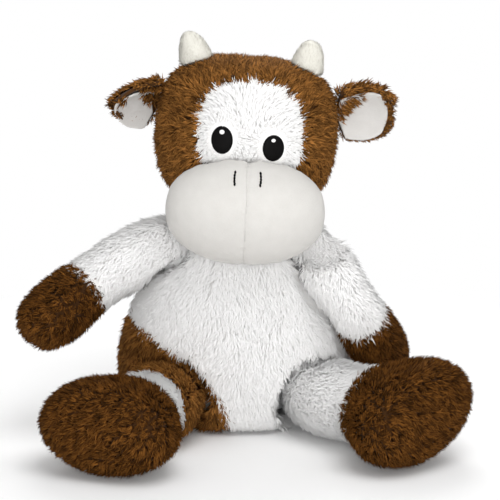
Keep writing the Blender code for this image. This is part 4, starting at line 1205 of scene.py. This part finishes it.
thing = forms["muzzle"]
points = mesh_points(thing)
sides = panel_of_point["muzzle"]
near = np.abs(sides[:, 0] - sides[:, 1]) < SEAM_SAMPLE
sample = np.hstack((points[near], np.ones((int(near.sum()), 1))))
fit = np.linalg.lstsq(sample, sides[near, 0] - sides[near, 1], rcond=None)[0]
seam_normal = fit[:3] / np.linalg.norm(fit[:3])
seam_point = -seam_normal * fit[3] / np.linalg.norm(fit[:3])
from_seam = np.abs((points - seam_point) @ seam_normal)
pucker = np.clip(1.0 - from_seam / PUCKER_REACH, 0.0, 1.0) * np.sin(points[:, 2] * 2.0 * np.pi / STITCH)
set_points(thing, points + mesh_normals(thing) * (PUCKER_HEIGHT * pucker)[:, None])
for panel, keep_far in (("muzzle_left", False), ("muzzle_right", True)):
    half = bpy.data.objects.new(f"{panel}_velour", thing.data.copy())
    bpy.context.scene.collection.objects.link(half)
    mesh = bmesh.new()
    mesh.from_mesh(half.data)
    bmesh.ops.bisect_plane(mesh, geom=[*mesh.verts, *mesh.edges, *mesh.faces], plane_co=Vector(seam_point),
                           plane_no=Vector(seam_normal), clear_inner=keep_far, clear_outer=not keep_far)
    mesh.to_mesh(half.data)
    mesh.free()
    half.data.shade_smooth()
    thicken(half, MUZZLE_CLOTH)
    dress(half, VELOUR, "head", panel)
    print(panel, "velour:", len(half.data.vertices), "points")

# %% [markdown]
# ## The horns
#
# The horns are soft stubs with a short cream nap, wider at the foot, and the left one leans outwards.
# New cones could stand for them, but reshaping the plain model's horns keeps their places.

# %% Make the horns

HORN_MESH = 2.0 * MM
HORN_ROUNDS = 3
HORN_BEND = 1.5
HORN_HEIGHT_SHARE = 0.93
HORN_FOOT_SHARE = 1.22
HORN_TIP_SHARE = 0.95
HORN_LEANS = {"left": -4.5 * MM, "right": 0.5 * MM}
HORN_PILE_LENGTH = 2.6 * MM
HORN_PILE_DENSITY = 1.6e6
HORN_LIE = {**WHITE_LIE, "Tuft size": 4.0 * MM}

for side in ("left", "right"):
    horn = subdivide(fuse(f"horn_{side}_velour", [f"horn_{side}"], HORN_MESH, HORN_ROUNDS), 1)
    points = mesh_points(horn)
    foot = points[:, 2].min()
    share = ((points[:, 2] - foot) / (points[:, 2].max() - foot))[:, None]
    middle = points.mean(axis=0)
    width = HORN_FOOT_SHARE + (HORN_TIP_SHARE - HORN_FOOT_SHARE) * share
    points[:, :2] = middle[:2] + (points[:, :2] - middle[:2]) * width
    points[:, 0] += HORN_LEANS[side] * share[:, 0] ** HORN_BEND
    points[:, 2] = foot + (points[:, 2] - foot) * HORN_HEIGHT_SHARE
    set_points(horn, points)
    normals = mesh_normals(horn)
    full = np.ones(len(points))
    comb(horn, normals, -DOWN, full, full)
    grow(f"horn_{side}_nap", horn, HORN_PILE, "head", HORN_PILE_LENGTH, HORN_PILE_DENSITY, HORN_LIE)
    horn.data.shade_smooth()
    dress(horn, HORN_CLOTH, "head", f"horn_{side}")
print("horns ready")

# %% [markdown]
# ## The ears
#
# An ear is two layers: a brown plush back that shows a rim all round, and a white velour lining dished
# into its cup. One leaf in two colours would be simpler, but the lining's edge shows, so each layer is
# a piece of its own. The left ear is drawn in towards its tip. Long brown hair hangs over each lining's
# root.

# %% Say how the ears are shaped

EAR_MESH = 1.3 * MM
EAR_ROUNDS = 2
LINING_MESH = 1.0 * MM
EAR_HAIRS_PER_AREA = 1.3e6
EAR_PILE_LENGTH = 8.0 * MM
EAR_LIE = {**BROWN_LIE, "Tuft size": 7.0 * MM, "Lay": 0.15}
EAR_TAPER_SHARES = {"left": 0.38, "right": 0.0}
EAR_LENGTH_SHARES = {"left": 0.86, "right": 1.0}
ROOT_TUFT_REACH = 13.0 * MM
LINING_SPREAD_SHARES = {"left": 0.20, "right": 0.15}
LINING_REACH_SHARE = 0.07
LINING_BOWL = 2.4 * MM
BOWL_MIDDLE_SHARE = 0.4
LINING_SHIFTS = {"left": np.array((-1.5, -1.5, -2.5)) * MM, "right": np.array((0.0, -1.0, 0.0)) * MM}
EAR_SHADE_REACH = 4.0 * MM
EAR_UNDER_REACH = 12.0 * MM
EAR_UNDER_TRIM = 0.45
EAR_COAT_LEAST = 0.6
EAR_COVER_GAIN = 2.2
EAR_COVER_START = 0.2
EAR_OUTWARD = 1.3
EAR_SPREAD = 25.0
FRONT_RIM_SHARE = 0.6
FRONT_LIMIT = -0.3
LINING_FRONT_LIMIT = -0.2
ROOT_SLANT = 0.8
ROOT_COAT = 0.9
ROOT_FALL = DOWN * 0.5


def ear_places(points, side):
    """How far points lie along an ear from its root, and their offset from its middle line."""
    root = JOINT_PLACES[f"ear_{side}"]
    outward = unit((middle_of(f"ear_{side}_back") - root)[None])[0]
    reach = (points - root) @ outward
    return reach, points - root - reach[:, None] * outward, outward


def shaped_ear(thing, side):
    """Draw an ear in towards its tip, as its cloth hangs in the photo."""
    points = mesh_points(thing)
    reach, offset, outward = ear_places(points, side)
    share = np.clip(reach / reach.max(), 0.0, 1.0)[:, None]
    drawn = offset * (1.0 - EAR_TAPER_SHARES[side] * share)
    shorter = reach[:, None] * (1.0 - (1.0 - EAR_LENGTH_SHARES[side]) * share)
    set_points(thing, JOINT_PLACES[f"ear_{side}"] + outward * shorter + drawn)
    return thing


print("hair reaches", ROOT_TUFT_REACH / MM, "mm over the linings")

# %% [markdown]
# ## Making the ears
#
# Both ears are made in the same steps, so one loop makes them, and what differs between them is looked
# up by side. First the two layers get their shape, then the back its hair, then the lining the tuft at
# its root.

# %% Make the ears

for side in ("left", "right"):
    ear = f"ear_{side}"
    leaf = shaped_ear(fuse(f"{ear}_back_ground", [f"{ear}_back"], EAR_MESH, EAR_ROUNDS), side)
    lining = subdivide(fuse(f"{ear}_lining_velour", [f"{ear}_lining"], LINING_MESH, EAR_ROUNDS), 1)
    shaped_ear(lining, side)
    points = mesh_points(lining)
    reach, offset, outward = ear_places(points, side)
    wider = offset * LINING_SPREAD_SHARES[side] + reach[:, None] * outward * LINING_REACH_SHARE
    rise = np.linalg.norm(points - points.mean(axis=0), axis=1)
    bowl = np.outer((rise / rise.max()) ** 2 - BOWL_MIDDLE_SHARE, (0.0, -LINING_BOWL, 0.0))
    set_points(lining, points + wider + LINING_SHIFTS[side] + bowl)

    points = mesh_points(leaf)
    normals = mesh_normals(leaf)
    opened = openness(points, normals, [f"{ear}_lining", *other_nodes(ear)], EAR_SHADE_REACH)
    reach, offset, outward = ear_places(points, side)
    under = np.clip(-offset[:, 2] / EAR_UNDER_REACH, 0.0, 1.0)
    front = np.where(normals[:, 1] < FRONT_LIMIT, FRONT_RIM_SHARE, 1.0)
    coat = (EAR_COAT_LEAST + (1.0 - EAR_COAT_LEAST) * opened) * (1.0 - EAR_UNDER_TRIM * under) * front
    cover = np.clip(opened * EAR_COVER_GAIN - EAR_COVER_START, 0.0, 1.0)
    comb(leaf, normals, outward * EAR_OUTWARD + offset * EAR_SPREAD, coat, cover)
    grow(f"{ear}_back_pile", leaf, BROWN_PILE, ear, EAR_PILE_LENGTH, EAR_HAIRS_PER_AREA, EAR_LIE)
    leaf.data.shade_smooth()
    dress(leaf, BROWN_GROUND, ear, f"{ear}_back")

    points = mesh_points(lining)
    normals = mesh_normals(lining)
    reach, offset, outward = ear_places(points, side)
    near_root = np.clip(2.0 - 2.0 * (reach - offset[:, 2] * ROOT_SLANT) / ROOT_TUFT_REACH, 0.0, 1.0)
    cover = near_root * (normals[:, 1] < LINING_FRONT_LIMIT)
    comb(lining, normals, outward + ROOT_FALL, np.full(len(points), ROOT_COAT), cover)
    grow(f"{ear}_root_pile", lining, BROWN_PILE, ear, EAR_PILE_LENGTH, EAR_HAIRS_PER_AREA, EAR_LIE)
    lining.data.shade_smooth()
    dress(lining, LINING, ear, f"{ear}_lining")
print("ears ready")

# %% [markdown]
# ## The tail
#
# The tail is a thin plush stem with a long-haired tuft. The photo doesn't show it, so its shape is a
# guess. A twist of strands would do too, but the pile of the other covers suits the toy better.

# %% Make the tail

TAIL_MESH = 1.5 * MM
TAIL_ROUNDS = 2
TAIL_SHADE_REACH = 4.0 * MM
TAIL_COAT_LEAST = 0.6
TAIL_HAIRS_PER_AREA = 1.6e6
TAIL_LIE = {**WHITE_LIE, "Tuft size": 5.0 * MM}
TAIL_WAY = np.array((0.0, 0.15, -1.0))
STEM_DEPTH = 1.8 * MM
STEM_PILE_LENGTH = 6.0 * MM
TUFT_DEPTH = 3.0 * MM
TUFT_PILE_LENGTH = 13.0 * MM

for part, material, ground_material, depth, length in (
    ("tail_stem", WHITE_PILE, WHITE_GROUND, STEM_DEPTH, STEM_PILE_LENGTH),
    ("tail_tuft", BROWN_PILE, BROWN_GROUND, TUFT_DEPTH, TUFT_PILE_LENGTH),
):
    ground = fuse(f"{part}_ground", [part], TAIL_MESH, TAIL_ROUNDS)
    points = mesh_points(ground)
    normals = mesh_normals(ground)
    opened = openness(points, normals, ["back_panel"], TAIL_SHADE_REACH)
    set_points(ground, points - normals * depth)
    comb(ground, normals, TAIL_WAY, TAIL_COAT_LEAST + (1.0 - TAIL_COAT_LEAST) * opened, opened)
    grow(f"{part}_pile", ground, material, "tail", length, TAIL_HAIRS_PER_AREA, TAIL_LIE)
    ground.data.shade_smooth()
    dress(ground, ground_material, "tail", part)
print("tail ready")

# %% [markdown]
# ## Eyes and nostrils
#
# The eyes are embroidered pads of black thread with a white glint. Each nostril is a line of a few
# short stitches that lie on the velour. A remesh would break such thin pieces, so they are flattened
# balls.

# %% Helpers for thread

EYE_THICKNESS = 4.2 * MM
GLINT_THICKNESS = 1.4 * MM
GLINT_SINK = 0.45 * MM
STITCHES = 5
STITCH_LONG = 3.4 * MM
STITCH_WIDE = 1.7 * MM
BALL_SEGMENTS = 48
STITCH_SEGMENTS = 12
AHEAD = Vector((0.0, 1.0, 0.0))
RAYS_FROM = -0.3


def mesh_tree(mesh):
    """A search tree over a mesh."""
    return BVHTree.FromPolygons([v.co for v in mesh.vertices], [tuple(p.vertices) for p in mesh.polygons])


def under_thread(tree, across, height):
    """The place on a surface straight behind a point in front of the face, and the way it faces there."""
    place, facing, _, _ = tree.ray_cast(Vector((across, RAYS_FROM, height)), AHEAD)
    return place, facing


def joined_objects(name, things):
    """Several objects made one mesh of separate bodies."""
    points = np.concatenate([mesh_points(thing) for thing in things])
    faces = []
    start = 0
    for thing in things:
        faces += [[corner + start for corner in face.vertices] for face in thing.data.polygons]
        start += len(thing.data.vertices)
        bpy.data.objects.remove(thing, do_unlink=True)
    joined = new_object(name, points, faces)
    joined.data.shade_smooth()
    return joined


def oval(name, place, facing, size, segments):
    """A smooth flattened ball that faces along a direction, with its long axis upright."""
    out = Vector(facing).normalized()
    across = Vector((0.0, 0.0, 1.0)).cross(out).normalized()
    turn = Matrix((across, out, out.cross(across))).transposed().to_4x4()
    shape = Matrix.Diagonal(Vector(size) / 2.0).to_4x4()
    mesh = bmesh.new()
    bmesh.ops.create_uvsphere(mesh, u_segments=segments, v_segments=segments // 2, radius=1.0,
                              matrix=Matrix.Translation(place) @ turn @ shape)
    bmesh.ops.recalc_face_normals(mesh, faces=mesh.faces)
    data = bpy.data.meshes.new(name)
    mesh.to_mesh(data)
    mesh.free()
    thing = bpy.data.objects.new(name, data)
    bpy.context.scene.collection.objects.link(thing)
    data.shade_smooth()
    return thing


def pad_size(name, depth):
    """The width, a chosen depth and the height of a node that faces the front."""
    low, high = (np.array(corner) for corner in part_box(name))
    return float(high[0] - low[0]), depth, float(high[2] - low[2])


print("thread lies", EYE_THICKNESS / MM, "mm thick on the eyes")

# %% [markdown]
# ## Laying the thread on the face
#
# Thread lies on the cloth that carries it. It could be placed where the plain model has it, but the
# covers have swollen, so a ray from the front finds the cloth, and each pad and stitch is laid there.

# %% Make the eyes and nostrils

face = mesh_tree(grounds["face_blaze"].data)
for side in ("left", "right"):
    eye_name = f"eye_{side}"
    glint_name = f"eye_glint_{side}"
    centre = middle_of(eye_name)
    place, facing = under_thread(face, centre[0], centre[2])
    eye = oval(f"{eye_name}_thread", place, facing, pad_size(eye_name, EYE_THICKNESS), BALL_SEGMENTS)
    dress(eye, BLACK_SILK, "head", f"eye_{side}")
    rise = middle_of(glint_name) - centre
    rise[1] = 0.0
    spot = place + Vector(rise) + facing * (EYE_THICKNESS / 2.0 - GLINT_SINK)
    glint = oval(f"{glint_name}_thread", spot, facing, pad_size(glint_name, GLINT_THICKNESS), BALL_SEGMENTS)
    dress(glint, WHITE_SILK, "head", f"eye_glint_{side}")

snout = mesh_tree(forms["muzzle"].data)
for side in ("left", "right"):
    points, _ = node_arrays(f"nostril_{side}")
    low = points[:, 2].min() + STITCH_LONG / 2.0
    high = points[:, 2].max() - STITCH_LONG / 2.0
    stitches = []
    for height in np.linspace(low, high, STITCHES):
        across = points[np.abs(points[:, 2] - height) < STITCH_LONG / 2.0, 0].mean()
        place, facing = under_thread(snout, across, height)
        size = (STITCH_WIDE, STITCH_WIDE, STITCH_LONG)
        stitches.append(oval("stitch", place, facing, size, STITCH_SEGMENTS))
    line = joined_objects(f"nostril_{side}_thread", stitches)
    dress(line, BLACK_SILK, "head", f"nostril_{side}")
print("eyes and nostrils ready")

# %% [markdown]
# ## Inside
#
# Filling gives a stuffed toy its shape and doesn't show. It could stay as the plain model has it, but
# then a toy shown open would look unfinished. So the fillings are lumps of fibre fleece inside the
# covers, and the pellet pouch lies at the bottom of the torso. The arms' fillings lie deeper, or they
# would show where the cover is cut thin.

# %% Make the fillings and the pouch

FLEECE_MESH = 4.0 * MM
FLEECE_LUMP = 12.0 * MM
FLEECE_LUMP_DEPTH = 2.0 * MM
FLEECE_INSETS = {"arm_left": 5.0 * MM, "arm_right": 5.0 * MM}
POUCH_MESH = 3.0 * MM
PELLET = 5.0 * MM
PELLET_DEPTH = 1.2 * MM
FILLING_ROUNDS = 2


def lumpy(thing, size, height):
    """Give a filling soft lumps."""
    texture = bpy.data.textures.new(f"{thing.name}_lumps", "CLOUDS")
    texture.noise_scale = size
    modifier = thing.modifiers.new("lumps", "DISPLACE")
    modifier.texture = texture
    modifier.strength = height
    modifier.mid_level = 1.0
    return apply_modifiers(thing)


for name, parts in FORMS.items():
    filling = parts["filling"]
    core = fuse(f"{filling}_fleece", [filling], FLEECE_MESH, FILLING_ROUNDS)
    lumpy(core, FLEECE_LUMP, FLEECE_LUMP_DEPTH)
    set_points(core, mesh_points(core) - mesh_normals(core) * FLEECE_INSETS.get(name, 0.0))
    core.data.shade_smooth()
    dress(core, FLEECE, BODY_OF_FORM[name], filling)
    print(filling, len(core.data.vertices), "points")
pouch = lumpy(fuse("pellet_pouch_bag", ["pellet_pouch"], POUCH_MESH, FILLING_ROUNDS), PELLET, PELLET_DEPTH)
pouch.data.shade_smooth()
dress(pouch, BAG, "torso", "pellet_pouch")

# %% [markdown]
# ## The neck
#
# The neck is the narrow waist of cloth on which the head turns. It could stay bare, but it shows from
# behind and when the head nods, so it carries a thin white pile.

# %% Make the neck

NECK_MESH = 3.0 * MM
NECK_ROUNDS = 3
NECK_SHADE_REACH = 8.0 * MM
NECK_COAT_LEAST = 0.5
NECK_DENSITY_SHARE = 0.65

plug = fuse("neck_plug_cloth", ["neck_plug"], NECK_MESH, NECK_ROUNDS)
points = mesh_points(plug)
normals = mesh_normals(plug)
opened = openness(points, normals, other_nodes("none"), NECK_SHADE_REACH)
coat = NECK_COAT_LEAST + (1.0 - NECK_COAT_LEAST) * opened
comb(plug, normals, DOWN, coat, np.clip(opened, 0.0, 1.0))
density = HAIRS_PER_AREA * NECK_DENSITY_SHARE
grow("neck_plug_pile", plug, WHITE_PILE, "neck", PILE_LENGTH, density, WHITE_LIE)
plug.data.shade_smooth()
dress(plug, WHITE_GROUND, "neck", "neck_plug")
print("hairs in all:", sum(hair_counts))

for thing in [*forms.values(), hair]:
    bpy.data.objects.remove(thing, do_unlink=True)

# %% [markdown]
# ## The floor
#
# On a backdrop alone the toy would float, so it sits on a sheet of pale paper. The paper carries the
# toy's shadow, and further out the camera sees it as plain white.

# %% Lay the paper

PAPER_REACH = 6.0
PAPER_NEAR = 0.20
PAPER_FAR = 0.45
PAPER_ROUGHNESS = 0.9
PAPER_WHITE = (0.97, 0.97, 0.97, 1.0)
PAPER_CORNERS = ((-1, -1), (1, -1), (1, 1), (-1, 1))
corners = [(x * PAPER_REACH, y * PAPER_REACH, 0.0) for x, y in PAPER_CORNERS]
floor = new_object("floor", corners, [(0, 1, 2, 3)])
floor_finish, floor_shader = principled("floor_paper", PAPER_ROUGHNESS, specular=0.0)
floor_shader.inputs["Base Color"].default_value = PAPER_WHITE
floor_tree = floor_finish.node_tree
spot = node(floor_tree, "ShaderNodeTexCoord").outputs["Object"]
away = node(floor_tree, "ShaderNodeVectorMath", operation="LENGTH")
link(floor_tree, spot, away.inputs[0])
fade = node(floor_tree, "ShaderNodeMapRange")
fade.inputs["From Min"].default_value = PAPER_NEAR
fade.inputs["From Max"].default_value = PAPER_FAR
link(floor_tree, away.outputs["Value"], fade.inputs["Value"])
camera_ray = node(floor_tree, "ShaderNodeLightPath").outputs["Is Camera Ray"]
white_paper = node(floor_tree, "ShaderNodeEmission")
both = node(floor_tree, "ShaderNodeMixShader")
link(floor_tree, number_math(floor_tree, "MULTIPLY", fade.outputs["Result"], camera_ray), both.inputs[0])
link(floor_tree, floor_shader.outputs["BSDF"], both.inputs[1])
link(floor_tree, white_paper.outputs["Emission"], both.inputs[2])
link(floor_tree, both.outputs["Shader"], floor_tree.nodes["Material Output"].inputs["Surface"])
floor.data.materials.append(floor_finish)
print("paper turns white from", PAPER_NEAR, "to", PAPER_FAR, "m")

# %% [markdown]
# ## The light
#
# A white room gives a little light from everywhere, and the camera sees it as a brighter backdrop. One
# small lamp would leave hard shadows in the hair, so soft lamps stand above, to the right, to the left,
# low in front and behind.

# %% Set the room and the lamps

ROOM_STRENGTH = 0.40
BACKDROP_STRENGTH = 1.3
world = bpy.data.worlds.new("studio")
bpy.context.scene.world = world
world.use_nodes = True
sky = world.node_tree.nodes["Background"]
sky.inputs["Color"].default_value = (1.0, 1.0, 1.0, 1.0)
seen = node(world.node_tree, "ShaderNodeLightPath").outputs["Is Camera Ray"]
strength = number_math(world.node_tree, "MULTIPLY", seen, BACKDROP_STRENGTH - ROOM_STRENGTH)
strength = number_math(world.node_tree, "ADD", strength, ROOM_STRENGTH)
link(world.node_tree, strength, sky.inputs["Strength"])


def soft_light(name, place, target, size, power):
    """A square area light that looks at a target."""
    data = bpy.data.lights.new(name, "AREA")
    data.size = size
    data.energy = power
    lamp = bpy.data.objects.new(name, data)
    bpy.context.scene.collection.objects.link(lamp)
    lamp.location = place
    lamp.rotation_euler = (Vector(target) - Vector(place)).to_track_quat("-Z", "Y").to_euler()


soft_light("top", (0.30, -0.55, 1.5), (0.0, -0.02, 0.10), 1.0, 10.5)
soft_light("key", (1.3, -0.9, 1.0), (0.0, 0.0, 0.12), 0.8, 2.6)
soft_light("fill", (-1.2, -0.9, 0.7), (0.0, 0.0, 0.12), 1.0, 1.0)
soft_light("low", (0.0, -1.6, 0.16), (0.0, 0.0, 0.03), 1.0, 19.5)
soft_light("back", (0.0, 1.2, 1.3), (0.0, 0.0, 0.12), 1.0, 14.0)
print(len(bpy.data.lights), "lamps")

# %% [markdown]
# ## The camera
#
# The camera looks slightly down at the toy from the front, as in the photo. A short lens would swell
# the muzzle, so a long one is used from further away.

# %% Set the camera

CAMERA_AIM = Vector((0.008, 0.0, 0.130))
CAMERA_DISTANCE = 1.3
CAMERA_RISE = np.radians(12.0)
CAMERA_LENS = 121.6
CAMERA_WIDTH = 36.0
camera_data = bpy.data.cameras.new("camera")
camera_data.lens = CAMERA_LENS
camera_data.sensor_width = CAMERA_WIDTH
camera = bpy.data.objects.new("camera", camera_data)
bpy.context.scene.collection.objects.link(camera)
camera.location = CAMERA_AIM + Vector((0.0, -np.cos(CAMERA_RISE), np.sin(CAMERA_RISE))) * CAMERA_DISTANCE
camera.rotation_euler = (CAMERA_AIM - camera.location).to_track_quat("-Z", "Y").to_euler()
bpy.context.scene.camera = camera
bpy.context.scene.view_settings.view_transform = "Standard"
print("camera at", [round(v, 3) for v in camera.location])
